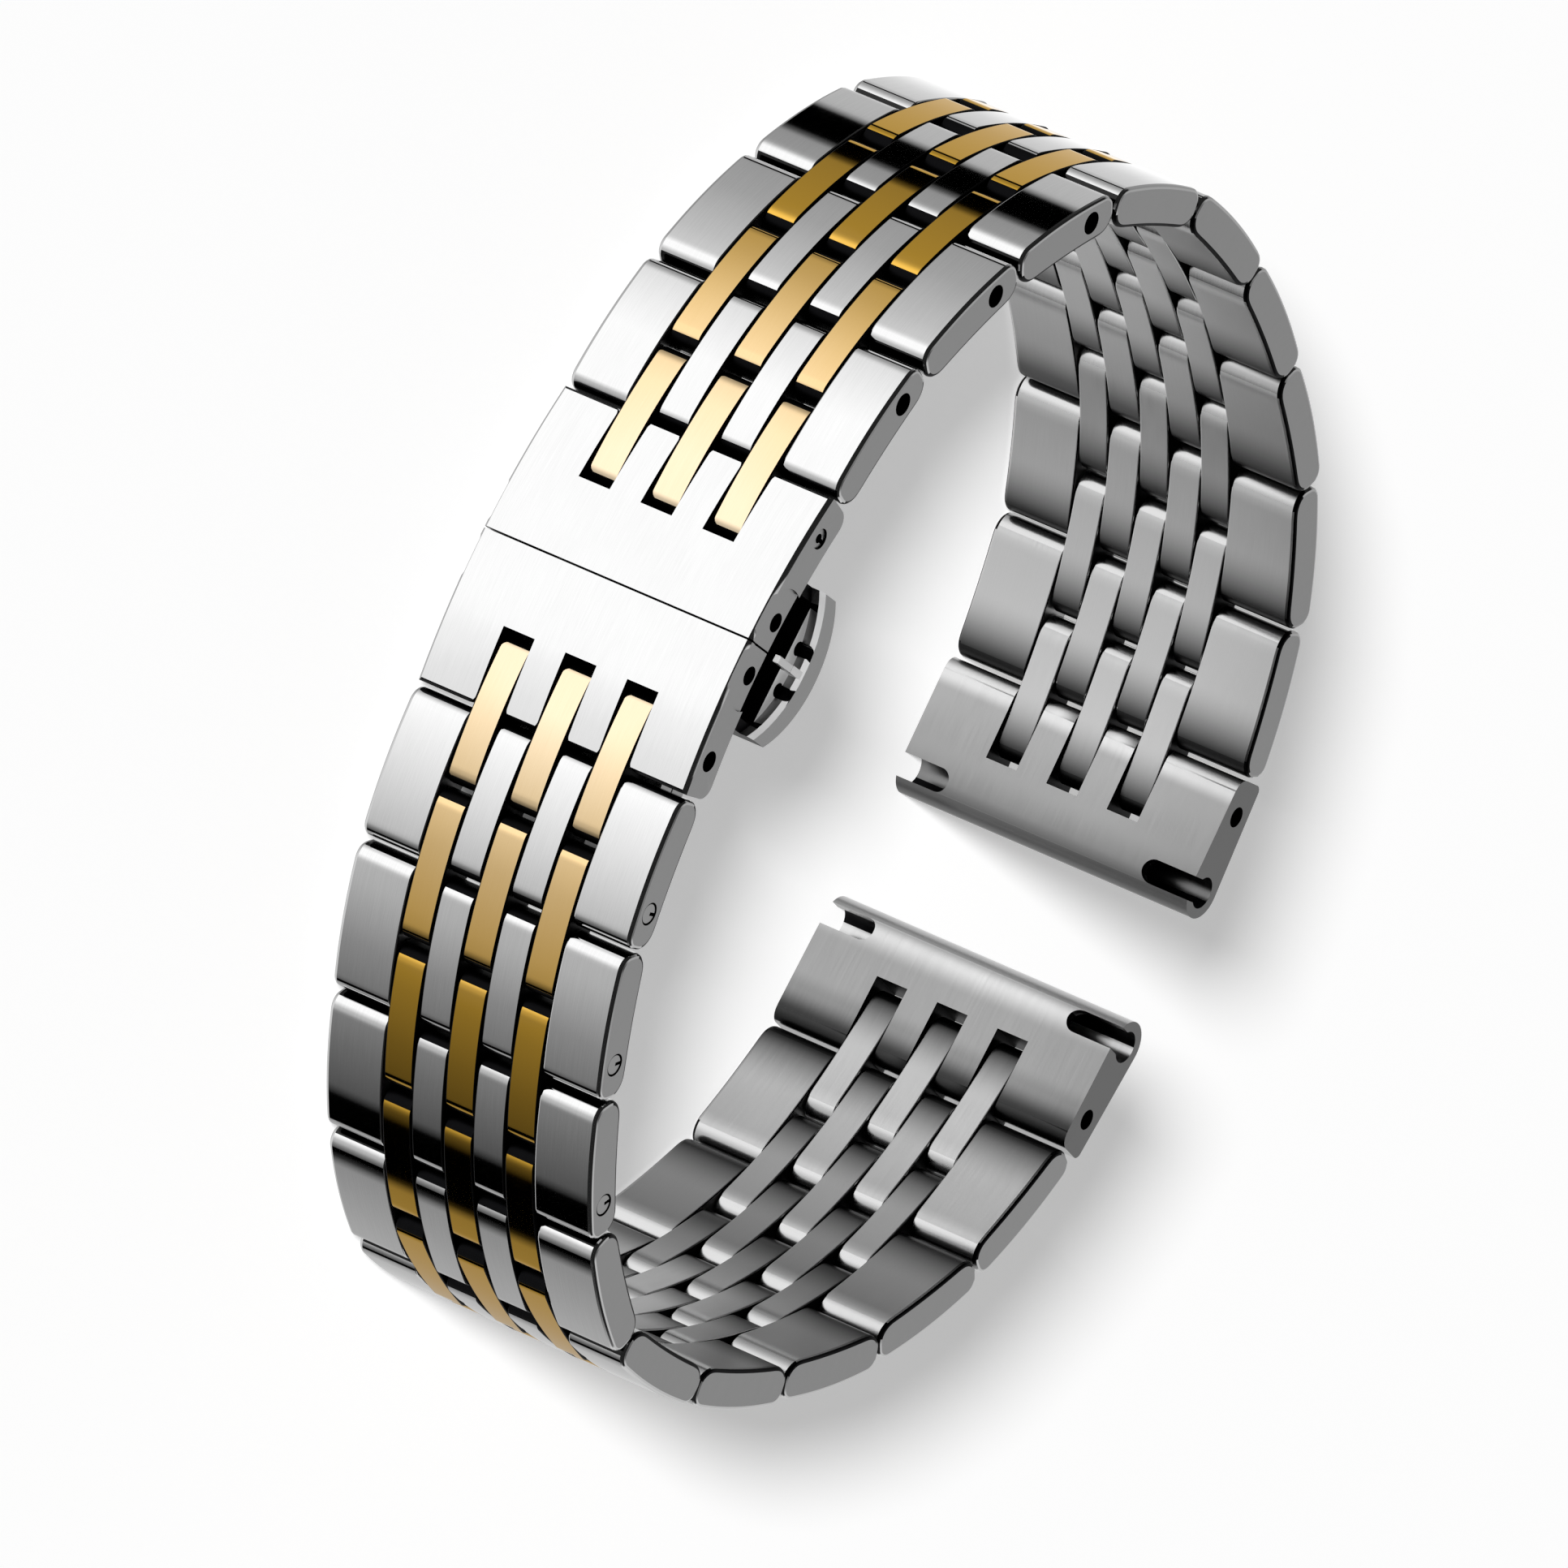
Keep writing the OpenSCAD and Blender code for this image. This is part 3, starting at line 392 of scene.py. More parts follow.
def steel_row_tree():
    """Four links in line and their two pins. One pin is split and stands in a drilled hole where
    Open is set, with its end at Pin Top."""
    number = "NodeSocketFloat"
    tree, given, result = new_tree("steel_row", {
        "Place": "NodeSocketVector", "Heading": number, "Start Half": number, "End Half": number,
        "Open": "NodeSocketBool", "Open Place": number, "Blind Place": number, "Pin Top": number,
        "Clasp Side": number})
    node = partial(add, tree)
    # The narrow links are near-black wherever a gold link hides them, and so is the inner edge of
    # the wide links, which gives them their thin black line. This black and the wide links' dark
    # rounded ends are painted shade.
    wide = {"Outer": brushed_steel, "Outer Edge": polished_steel, "Round": rounded_end_shade_steel,
            "Side": satin_steel, "Inner": inner_steel, "Inner Edge": gap_shade_steel,
            "Inner Round": polished_inner_steel, "Shaded Round": shaded_steel,
            "Outer Limit": -0.5, "Clasp Side": given["Clasp Side"]}
    narrow = {**wide, "Outer Edge": gap_shade_steel, "Round": gap_shade_steel, "Side": gap_shade_steel,
              "Inner Edge": polished_inner_steel, "Outer Limit": -0.8}
    both = node("ShaderNodeMath", {0: given["Start Half"], 1: given["End Half"]}, operation="ADD")
    top_side = node("ShaderNodeMath", {0: both, 1: 0.5}, operation="MULTIPLY")
    foot = node("ShaderNodeMath", {0: both, 1: -0.5}, operation="MULTIPLY")
    growth = node("ShaderNodeMath", {0: given["End Half"], 1: given["Start Half"]},
                  operation="SUBTRACT")
    taper = node("ShaderNodeMath", {0: growth, 1: 1 / PIN_PITCH}, operation="MULTIPLY")
    narrow_low = (GOLD_SPACING - NARROW_WIDTH) / 2
    narrow_high = (GOLD_SPACING + NARROW_WIDTH) / 2
    sizes = ((WIDE_INNER, top_side, EDGE_BREAK, SIDE_BREAK, taper, wide),
             (foot, -WIDE_INNER, SIDE_BREAK, EDGE_BREAK, 0.0, wide),
             (narrow_low, narrow_high, EDGE_BREAK, EDGE_BREAK, 0.0, narrow),
             (-narrow_high, -narrow_low, EDGE_BREAK, EDGE_BREAK, 0.0, narrow))
    links = []
    for low, high, low_break, high_break, lean, finishes in sizes:
        links.append(node("GeometryNodeGroup", {
            "Low": low, "High": high, "Low Break": low_break, "High Break": high_break,
            "Taper": lean, **finishes}, node_tree=LINK))
    top, bottom, *middle = links

    # The hole of the pin that shows. Its wall is near-black steel, painted shade in the hole.
    drill = node("GeometryNodeMeshCylinder", {"Vertices": PIN_SIDES, "Radius": PIN_HOLE / 2,
                                              "Depth": DRILL_LENGTH})
    drill = node("GeometryNodeSetMaterial", {"Geometry": drill, "Material": gap_shade_steel})
    drill_place = node("ShaderNodeCombineXYZ", {0: given["Open Place"], 2: DRILL_HEIGHT})
    drill = node("GeometryNodeTransform", {"Geometry": drill, "Translation": drill_place})
    bored = node("GeometryNodeMeshBoolean", {"Mesh 1": top, "Mesh 2": drill},
                 operation="DIFFERENCE", solver="EXACT")
    top = node("GeometryNodeSwitch", {"Switch": given["Open"], "False": top, "True": bored},
               input_type="GEOMETRY")
    shortest = node("ShaderNodeMath", {0: given["Start Half"], 1: given["End Half"]},
                    operation="MINIMUM")
    depth = node("ShaderNodeMath", {0: shortest, 1: PIN_COVER}, operation="SUBTRACT")
    blind_pin = node("GeometryNodeGroup", {
        "Along": given["Blind Place"], "Depth": depth, "Top": depth, "Split": False}, node_tree=PIN)
    open_pin = node("GeometryNodeGroup", {
        "Along": given["Open Place"], "Depth": depth, "Top": given["Pin Top"],
        "Split": given["Open"]}, node_tree=PIN)
    row = node("GeometryNodeJoinGeometry")
    for part in (bottom, *middle, top, blind_pin, open_pin):
        tree.links.new(part.outputs[0], row.inputs[0])
    tree.links.new(placed(tree, row, given), result)
    return tree


STEEL_ROW = steel_row_tree()


def heading(first, second):
    """The direction from one pin to the next, as an angle about Z."""
    run = second - first
    return math.atan2(run.y, run.x)


def finished(name, tree, values):
    """Runs a tree with its named values and returns the result as an object with a plain mesh."""
    holder = bpy.data.objects.new(name + "_maker", bpy.data.meshes.new(name + "_maker"))
    scene.collection.objects.link(holder)
    maker = holder.modifiers.new("maker", "NODES")
    maker.node_group = tree
    for item in tree.interface.items_tree:
        if item.in_out == "INPUT" and item.name in values:
            maker[item.identifier] = values[item.name]
    made = holder.evaluated_get(bpy.context.evaluated_depsgraph_get())
    piece = bpy.data.objects.new(name, bpy.data.meshes.new_from_object(made))
    bpy.data.objects.remove(holder)
    scene.collection.objects.link(piece)
    return piece


for half in "ab":
    for row in range(1, ROWS + 1):
        near, far = pin_place[f"pin_{half}{2 * row}"], pin_place[f"pin_{half}{2 * row + 1}"]
        widths = [half_width(row - 1), half_width(row)]
        open_place, blind_place = PIN_PITCH, 0.0
        if half == "a":
            near, far = far, near
            widths.reverse()
            open_place, blind_place = blind_place, open_place
        shows = row <= OPEN_ROWS
        piece = finished(f"steel_links_{half}{row}", STEEL_ROW, {
            "Place": near, "Heading": heading(near, far), "Start Half": widths[0],
            "End Half": widths[1], "Open": shows, "Open Place": open_place,
            "Blind Place": blind_place,
            "Pin Top": CLASP_HALF - PIN_RECESS[half] if shows else min(widths) - PIN_COVER,
            "Clasp Side": 1.0 if half == "a" else -1.0})
        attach(piece, f"row_{half}{row}")
        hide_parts(f"row_{half}{row}")

# Gold rows. Each is three narrow links side by side that join one steel row to the next. Outside
# they are plated in yellow gold and brushed like the steel, and inside they are left in bare satin
# steel. They are drawn 0.16 mm broader than the solids, which keep more room in the gaps.
GOLD_DRAWN = 1.91 * MM
HIGHLIGHT_REACH = 8 * MM
HIGHLIGHT_FADE_REACH = 24 * MM
# Brushed gold plate gives a warm, silky face. Beside the clasp it is painted a pale cream as a
# highlight, and further round the wrist it turns to a deep yellow.
brushed_gold = metal("gold_plate_painted_highlight", "f6e2c2", "e8d2b0", 0.052, 0.012, 0.06, anisotropy=0.5)
node = partial(add, brushed_gold.node_tree)
clasp_place = (pin_place["pin_a1"] + pin_place["pin_b1"]) / 2
from_clasp = node("ShaderNodeVectorMath", {0: node("ShaderNodeTexCoord").outputs["Object"],
                                           1: tuple(clasp_place)}, operation="DISTANCE")
past_highlight_share = node("ShaderNodeMapRange", {"Value": from_clasp.outputs["Value"],
                                         "From Min": HIGHLIGHT_REACH, "From Max": HIGHLIGHT_FADE_REACH})
tone(brushed_gold, past_highlight_share, to_linear("dcac40"))


def gold_row_tree():
    """Three gold links side by side."""
    number = "NodeSocketFloat"
    tree, given, result = new_tree("gold_row", {"Place": "NodeSocketVector", "Heading": number,
                                                "Clasp Side": number})
    # Their edges, rounded ends and side faces are near-black steel, painted shade in the gaps.
    finishes = {"Outer": brushed_gold, "Outer Edge": gap_shade_steel, "Round": gap_shade_steel,
                "Side": gap_shade_steel, "Inner": inner_steel, "Inner Edge": polished_inner_steel,
                "Inner Round": polished_inner_steel, "Shaded Round": shaded_steel,
                "Outer Limit": -0.83, "Clasp Side": given["Clasp Side"]}
    row = add(tree, "GeometryNodeJoinGeometry")
    for centre in (-GOLD_SPACING, 0, GOLD_SPACING):
        link = add(tree, "GeometryNodeGroup",
                   {"Low": centre - GOLD_DRAWN / 2, "High": centre + GOLD_DRAWN / 2,
                    "Low Break": EDGE_BREAK, "High Break": EDGE_BREAK, **finishes}, node_tree=LINK)
        tree.links.new(link.outputs[0], row.inputs[0])
    tree.links.new(placed(tree, row, given), result)
    return tree


GOLD_ROW = gold_row_tree()
for half in "ab":
    for row in range(1, ROWS + 2):
        near, far = pin_place[f"pin_{half}{2 * row - 1}"], pin_place[f"pin_{half}{2 * row}"]
        if half == "a":
            near, far = far, near
        piece = finished(f"gold_links_{half}{row}", GOLD_ROW, {
            "Place": near, "Heading": heading(near, far),
            "Clasp Side": 1.0 if half == "a" else -1.0})
        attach(piece, f"gold_{half}{row}")
        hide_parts(f"gold_{half}{row}")

# Clasp heads. Two milled steel blocks that meet in the middle of the clasp, brushed outside, with
# slots for the first gold links. Each holds a blade's fold pin and the strap's first cross pin.
HEAD_EDGE = 0.05 * MM
WELD_REACH = 0.002 * MM
FLAT_ANGLE, SHARP_ANGLE, SMOOTH_ANGLE = math.radians(1), math.radians(32), math.radians(40)
SIDE_DEPTH = 0.2 * MM
CORNER_WIDTH = 0.35 * MM
FOLD_PIN_REACH = 0.56 * MM
CROSS_PIN_REACH = 0.62 * MM
# How far a face points sideways, or outwards on a head, where its finish changes.
SIDEWAYS = 0.9
HEAD_OUTER, HEAD_CORNER, HEAD_INNER = 0.8, 0.3, -0.6
joint_place = {joint["name"]: Vector(joint["pos_m"]) for joint in frame["joints"]}
fold_place = {"a": joint_place["fold_a"], "b": joint_place["fold_b"]}
clasp_along = (fold_place["b"] - fold_place["a"]).normalized()
clasp_out = Vector((clasp_along.y, -clasp_along.x, 0))
MIDDLE_HEIGHT = fold_place["a"].z


def refined(node_name, name, edge):
    """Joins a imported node's loose triangles into whole faces in a copy and rounds its edges."""
    work = bmesh.new()
    work.from_mesh(frame["nodes"][node_name].data)
    bmesh.ops.remove_doubles(work, verts=work.verts, dist=WELD_REACH)
    bmesh.ops.dissolve_degenerate(work, edges=work.edges, dist=WELD_REACH)
    bmesh.ops.dissolve_limit(work, angle_limit=FLAT_ANGLE, verts=work.verts, edges=work.edges)
    sharp = [e for e in work.edges if len(e.link_faces) == 2 and e.calc_face_angle(0) > SHARP_ANGLE]
    bmesh.ops.bevel(work, geom=sharp, offset=edge, segments=2, profile=0.5, affect="EDGES",
                    clamp_overlap=True)
    mesh = bpy.data.meshes.new(name)
    work.to_mesh(mesh)
    work.free()
    mesh.shade_smooth()
    mesh.set_sharp_from_angle(angle=SMOOTH_ANGLE)
    holder = bpy.data.objects.new(name + "_maker", mesh)
    scene.collection.objects.link(holder)
    even = holder.modifiers.new("even_shading", "WEIGHTED_NORMAL")
    even.keep_sharp = True
    made = holder.evaluated_get(bpy.context.evaluated_depsgraph_get())
    piece = bpy.data.objects.new(name, bpy.data.meshes.new_from_object(made))
    bpy.data.objects.remove(holder)
    scene.collection.objects.link(piece)
    return piece


def dress(piece, finishes, choose):
    """Gives each face the finish that choose names for its normal and its centre."""
    names = list(finishes)
    for name in names:
        piece.data.materials.append(finishes[name])
    for face in piece.data.polygons:
        face.material_index = names.index(choose(face.normal, face.center))


def near_pin(centre, place, reach):
    """True within reach of the axis of a pin."""
    return (centre.xy - place.xy).length < reach


def head_finish(strap_pin, fold_pin, normal, centre):
    """Brushed outside, satin on the side and the inner face, polished on its corners, and near-black
    in slots, holes and on its other faces, which is painted shade.
    """
    outward, sideways = normal.dot(clasp_out), abs(normal.z)
    from_middle = abs(centre.z - MIDDLE_HEIGHT)
    if sideways > SIDEWAYS and from_middle > CLASP_HALF - SIDE_DEPTH:
        return "side"
    in_fold_hole = near_pin(centre, fold_pin, FOLD_PIN_REACH)
    in_strap_hole = near_pin(centre, strap_pin, CROSS_PIN_REACH)
    if in_fold_hole or in_strap_hole or sideways > SIDEWAYS:
        return "dark"
    if outward > HEAD_OUTER:
        return "outer"
    if outward < HEAD_INNER:
        return "inner"
    on_corner = outward > HEAD_CORNER and from_middle > CLASP_HALF - CORNER_WIDTH
    return "edge" if on_corner else "dark"


for half in "ab":
    piece = refined(f"head_{half}", f"clasp_head_{half}", HEAD_EDGE)
    dress(piece, {"outer": brushed_steel, "side": satin_steel, "inner": inner_steel,
                  "edge": polished_steel, "dark": gap_shade_steel},
          partial(head_finish, pin_place[f"pin_{half}1"], fold_place[half]))
    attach(piece, f"head_{half}")
    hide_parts(f"head_{half}")

# Lug ends. One block of milled steel at each end of the strap, with three slots for the last gold
# links, a rounded tip with a bore for the spring bar, and two round-ended tool slots on the inner
# face. A cross pin holds it to the strap.
LUG_EDGE = 0.05 * MM
LUG_LENGTH = 8.2 * MM
LUG_FOOT = 2.08 * MM
SLOTS_HALF = 5.4 * MM
SLOTS_START = 0.3 * MM
SIDE_SKIN = 0.03 * MM
# How far a face points outwards, or back to the clasp in a slot, where its finish changes.
LUG_OUTER, LUG_INNER, SLOT_END = 0.85, -0.3, 0.5
# The inner face is painted light by its clasp end in half a and by its tip in half b, and painted
# dark by its other end, as painted highlight and shade. Each level is how light the steel is at a
# distance in millimetres from the clasp end.
LUG_PAINTED_LEVELS = {"a": {0.0: 0.90, 0.9: 0.90, 1.7: 0.50, 4.6: 0.44, 7.6: 0.24},
              "b": {0.0: 0.03, 0.7: 0.06, 2.0: 0.34, 3.0: 0.45, 5.2: 0.45, 6.6: 0.90, 7.5: 0.90}}
# Side faces of the lug ends are a darker matt grey than the links' sides, which is painted shade.
lug_side_shade_steel = metal("matt_lug_side_painted_shade", "8c8c8c", "7e7e7e", 0.36, 0.04, 0.05, relief=0.12)


def fill_ramp(ramp, levels):
    """Sets a ramp's stops to grey levels, each at its position from 0 to 1."""
    while len(ramp.elements) < len(levels):
        ramp.elements.new(0.5)
    for stop, position in zip(ramp.elements, levels):
        stop.position = position
    for stop, level in zip(ramp.elements, levels.values()):
        stop.color = (level, level, level, 1)


def lug_steel_painted_light(half, foot, to_tip):
    """Satin steel, lightened and darkened along the block by the levels given for each half. These
    are painted highlight and shade, which give the flat inner face the soft bands of a rolled bar."""
    material = metal(f"lug_steel_painted_light_{half}", "fcfcfc", "f0f0f0", 0.33, 0.05, 0.06,
                     anisotropy=0.4)
    node = partial(add, material.node_tree)
    from_foot = node("ShaderNodeVectorMath", {0: node("ShaderNodeTexCoord").outputs["Object"],
                                              1: tuple(foot)}, operation="SUBTRACT")
    along = node("ShaderNodeVectorMath", {0: from_foot, 1: tuple(to_tip)}, operation="DOT_PRODUCT")
    length_share = node("ShaderNodeMath", {0: along.outputs["Value"], 1: 1 / LUG_LENGTH},
                        operation="MULTIPLY")
    levels = node("ShaderNodeValToRGB", {0: length_share})
    fill_ramp(levels.color_ramp, {place * MM / LUG_LENGTH: level
                                  for place, level in LUG_PAINTED_LEVELS[half].items()})
    levels.color_ramp.interpolation = "EASE"
    tone(material, 1.0, levels, "MULTIPLY")
    return material


def lug_finish(last_pin, to_tip, lug_out, normal, centre):
    """Brushed outside, satin inside, a darker matt at the sides, and near-black in the slots and the
    hole; the darker sides and the near-black are painted shade.
    """
    outward, sideways = normal.dot(lug_out), abs(normal.z)
    from_middle = abs(centre.z - MIDDLE_HEIGHT)
    if sideways > SIDEWAYS and from_middle > LUG_HALF - SIDE_SKIN:
        return "side"
    if near_pin(centre, last_pin, CROSS_PIN_REACH):
        return "dark"
    faces_back = normal.dot(to_tip) < -SLOT_END
    past_pin = (centre - last_pin).dot(to_tip) > SLOTS_START
    if faces_back and past_pin and from_middle < SLOTS_HALF:
        return "dark"
    if sideways > SIDEWAYS:
        return "side" if from_middle > LUG_HALF - SIDE_DEPTH else "dark"
    if outward > LUG_OUTER:
        return "outer"
    return "inner" if outward < LUG_INNER else "edge"


for half in "ab":
    near, far = pin_place[f"pin_{half}19"], pin_place[f"pin_{half}20"]
    to_tip = (far - near).normalized()
    run = to_tip if half == "b" else -to_tip
    lug_out = Vector((run.y, -run.x, 0))
    piece = refined(f"lug_end_{half}", f"lug_block_{half}", LUG_EDGE)
    dress(piece, {"outer": brushed_steel, "side": lug_side_shade_steel,
                  "inner": lug_steel_painted_light(half, far - to_tip * LUG_FOOT, to_tip),
                  "edge": polished_inner_steel, "dark": gap_shade_steel},
          partial(lug_finish, far, to_tip, lug_out))
    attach(piece, f"lug_end_{half}")
    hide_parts(f"lug_end_{half}")

# Push buttons. One on each side of the clasp, cast in steel: a moon shaped rim with a rib across
# its hollow face, and a stem that slides into the clasp and holds both heads.
BUTTON_EDGE = 0.04 * MM
BUTTON_TOP = CLASP_HALF + 0.4 * MM
HOLLOW_DEEP = 0.75 * MM
FLOOR_START = 3.65 * MM
POCKET_OUT = 1.25 * MM
POCKET_DOWN = FLOOR_START + 0.8 * MM
POCKET_REACH = 0.45 * MM
RIM_FACE = 0.27 * MM
RIM_LONG = 3.6 * MM
RIB_WIDTH = 0.44 * MM
RIB_HIGH = 0.36 * MM
RIB_START = 1.4 * MM
RIB_SUNK = 0.11 * MM
RIB_OVERLAP = 0.1 * MM
RIB_EDGE = 0.05 * MM
RIB_MARGIN = 0.02 * MM
FACE_MARGIN = 0.05 * MM
# How far a face of a button points outwards where its finish changes.
RIM_HIGHLIGHT_TURN, BUTTON_TURNS = 0.15, -0.1
clasp_centre = (fold_place["a"] + fold_place["b"]) / 2
# The rim's top band and the rib get a light, part-matt frost that stays light whatever it mirrors,
# a painted highlight.
frosted_highlight_steel = metal("frosted_highlight_steel", "e6e6e6", "dcdcdc", 0.40, 0.04, 0.05, metallic=0.45)


def button_finish(normal, centre):
    """Picks a button face's finish from its place along the strap, its depth and its height.
    Near-black steel deep in the hollow, in its pockets and on faces past the rim's length is painted
    shade, and the light frost on the rim and the rib is a painted highlight.
    """
    along = (centre - clasp_centre).dot(clasp_along)
    depth = (clasp_centre - centre).dot(clasp_out)
    height, sideways, outward = abs(centre.z - MIDDLE_HEIGHT), abs(normal.z), normal.dot(clasp_out)
    in_pocket = math.hypot(abs(along) - POCKET_OUT, depth - POCKET_DOWN) < POCKET_REACH
    if height < BUTTON_TOP - HOLLOW_DEEP - FACE_MARGIN or in_pocket:
        return "satin" if outward < BUTTON_TURNS and not in_pocket else "dark"
    if sideways > SIDEWAYS and height > BUTTON_TOP - FACE_MARGIN:
        return "satin"
    if abs(along) < RIB_WIDTH / 2 + RIB_MARGIN and outward > BUTTON_TURNS:
        return "bright"
    if sideways > SIDEWAYS:
        return "bright" if abs(along) < RIM_LONG else "dark"
    on_rim = outward > RIM_HIGHLIGHT_TURN and height > BUTTON_TOP - RIM_FACE
    return "bright" if on_rim else "satin"


rib_length = FLOOR_START - RIB_START
rib_turn = Matrix((clasp_along, -clasp_out, Vector((0, 0, 1)))).transposed().to_4x4()
rib_size = Matrix.Diagonal((RIB_WIDTH, rib_length + RIB_OVERLAP, RIB_HIGH, 1))
for side in ("left", "right"):
    piece = refined(f"button_{side}", f"push_button_{side}", BUTTON_EDGE)
    up = 1 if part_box(f"button_{side}")[1][2] > MIDDLE_HEIGHT + CLASP_HALF else -1
    rib_middle = clasp_centre - clasp_out * (RIB_START + rib_length / 2)
    rib_middle.z += up * (BUTTON_TOP - RIB_SUNK - RIB_HIGH / 2)
    work = bmesh.new()
    work.from_mesh(piece.data)
    rib = bmesh.ops.create_cube(
        work, size=1, matrix=Matrix.Translation(rib_middle) @ rib_turn @ rib_size)["verts"]
    rib_edges = {edge for vertex in rib for edge in vertex.link_edges}
    bmesh.ops.bevel(work, geom=list(rib_edges), offset=RIB_EDGE, segments=2, profile=0.5,
                    affect="EDGES")
    work.to_mesh(piece.data)
    work.free()
    dress(piece, {"satin": satin_steel, "bright": frosted_highlight_steel, "dark": gap_shade_steel}, button_finish)
    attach(piece, f"button_{side}")
    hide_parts(f"button_{side}")

# Clasp base, blades and base pins. The base and the two folding blades are pressed from steel sheet
# and brushed, and they lie inside the wrist side of the clasp, where only an open clasp shows them.
SHEET_EDGE = 0.05 * MM
for name in ("clasp_base", "blade_a", "blade_b", "base_pins"):
    piece = refined(name, f"{name}_plate" if name != "base_pins" else "base_pin_pair", SHEET_EDGE)
    dress(piece, {"plate": satin_steel}, lambda normal, centre: "plate")
    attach(piece, name if name.startswith("blade") else "clasp")
    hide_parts(name)

# Leaf springs. Two thin strips of tempered spring steel inside the clasp push the buttons out.
# Their solids keep their shape and get their own metal. Tempering leaves a thin skin on the bare
# steel, which tints its shine a warm, brownish grey.
spring_steel = metal("tempered_spring_steel", "8f8a84", "7a7672", 0.28, 0.05, 0.05)
for side in ("left", "right"):
    leaf = frame["nodes"][f"spring_{side}"]
    leaf.data.materials.clear()
    leaf.data.materials.append(spring_steel)

# The picture. The bracelet stands on its side edge on a white floor, and the camera looks down on
# it with a long lens, rolled so that the strap runs as in the photograph.
VIEW_ELEVATION = math.radians(28.92)
VIEW_ROLL = math.radians(113.3)
VIEW_DISTANCE = 1.4
PICTURE_SCALE = 22.42 / MM
PICTURE_PIXELS = 1932
RIGHT_PIXELS, UP_PIXELS = 134, 26
SENSOR = 36
curl_middle = Vector((-0.69, 7.3, 10)) * MM
towards_camera = Vector((0, -math.cos(VIEW_ELEVATION), math.sin(VIEW_ELEVATION)))
level_turn = towards_camera.to_track_quat("Z", "Y").to_matrix()
camera_turn = level_turn @ Matrix.Rotation(VIEW_ROLL, 3, "Z")
off_middle = Vector((RIGHT_PIXELS / PICTURE_SCALE, UP_PIXELS / PICTURE_SCALE, 0))
aim = curl_middle - camera_turn @ off_middle
camera = bpy.data.objects.new("camera", bpy.data.cameras.new("camera"))
scene.collection.objects.link(camera)
camera.location = aim + towards_camera * VIEW_DISTANCE
camera.rotation_euler = camera_turn.to_euler()
camera.data.sensor_width = SENSOR
camera.data.lens = SENSOR * VIEW_DISTANCE / (PICTURE_PIXELS / PICTURE_SCALE)
camera.data.clip_start, camera.data.clip_end = 0.1, 10
scene.camera = camera

# Floor of white card. It shows as white, and only the lamp's soft shadow darkens it. The metal
# doesn't mirror it, because the studio below stands for all that it mirrors.
FLOOR_HALF = 3
FLOOR_LIFT = 0.47
floor = bpy.data.objects.new("floor", bpy.data.meshes.new("floor"))
corners = [(-FLOOR_HALF, -FLOOR_HALF, 0), (FLOOR_HALF, -FLOOR_HALF, 0), (FLOOR_HALF, FLOOR_HALF, 0),
           (-FLOOR_HALF, FLOOR_HALF, 0)]
floor.data.from_pydata(corners, [], [(0, 1, 2, 3)])
scene.collection.objects.link(floor)
floor.visible_glossy = False
card = bpy.data.materials.new("white_card")
card.use_nodes = True
node = partial(add, card.node_tree)
paper = card.node_tree.nodes["Principled BSDF"].inputs
paper["Base Color"].default_value = (0.8, 0.8, 0.8, 1)
paper["Roughness"].default_value = 1
paper["Specular IOR Level"].default_value = 0
paper["Emission Color"].default_value = (1, 1, 1, 1)
is_seen = node("ShaderNodeLightPath").outputs["Is Camera Ray"]
lift = node("ShaderNodeMath", {0: is_seen, 1: FLOOR_LIFT}, operation="MULTIPLY")
card.node_tree.links.new(lift.outputs[0], paper["Emission Strength"])
floor.data.materials.append(card)

# Studio. White tents and dark flags ring the bracelet: a wide tent before the clasp, a fall to grey
# beside it, and on each side a flag that gives polished metal its black band. A dark hood reaches
# from just below eye level to overhead, and the bevels mirror it as black lines.
RING_HEIGHT = -0.48
RING_INNER, RING_OUTER = 0.06, 0.14
ROOM_LEVEL, ROOM_FRONT, ROOM_RIGHT = 0.42, 0.38, 0.22
HOOD_LOW, HOOD_HIGH, HOOD_BACK = (-0.30, -0.16), (0.97, 0.92), (-0.64, -0.40)
HOOD_DARK = (0.015, 0.015, 0.015, 1)
SOFT_POWER, MIRROR_POWER = 0.20, 1.17
# Degrees from straight before the bracelet, and the grey level there.
TENT_LEVELS = {-180: 0.50, -168: 0.90, -150: 0.60, -136: 0.50, -114: 0.44, -112: 0.40, -110: 0.0,
               -99: 0.0, -97: 0.28, -80: 0.36, -66: 0.52, -50: 0.82, -38: 1.0, -2: 1.0, 12: 0.76,
               26: 0.52, 42: 0.42, 56: 0.24, 70: 0.14, 82: 0.08, 84: 0.0, 101: 0.0, 104: 0.26,
               125: 0.36, 155: 0.40, 180: 0.50}
world = scene.world or bpy.data.worlds.new("studio")
scene.world = world
world.use_nodes = True
world.node_tree.nodes.clear()
node = partial(add, world.node_tree)
ray = node("ShaderNodeSeparateXYZ", {0: node("ShaderNodeTexCoord").outputs["Generated"]}).outputs
front = node("ShaderNodeMath", {0: ray[1], 1: -1.0}, operation="MULTIPLY")
around = node("ShaderNodeMath", {0: ray[0], 1: front}, operation="ARCTAN2")
turn_share = node("ShaderNodeMath", {0: around, 1: 1 / (2 * math.pi), 2: 0.5},
                  operation="MULTIPLY_ADD")
tents = node("ShaderNodeValToRGB", {0: turn_share})
fill_ramp(tents.color_ramp, {angle / 360 + 0.5: level for angle, level in TENT_LEVELS.items()})

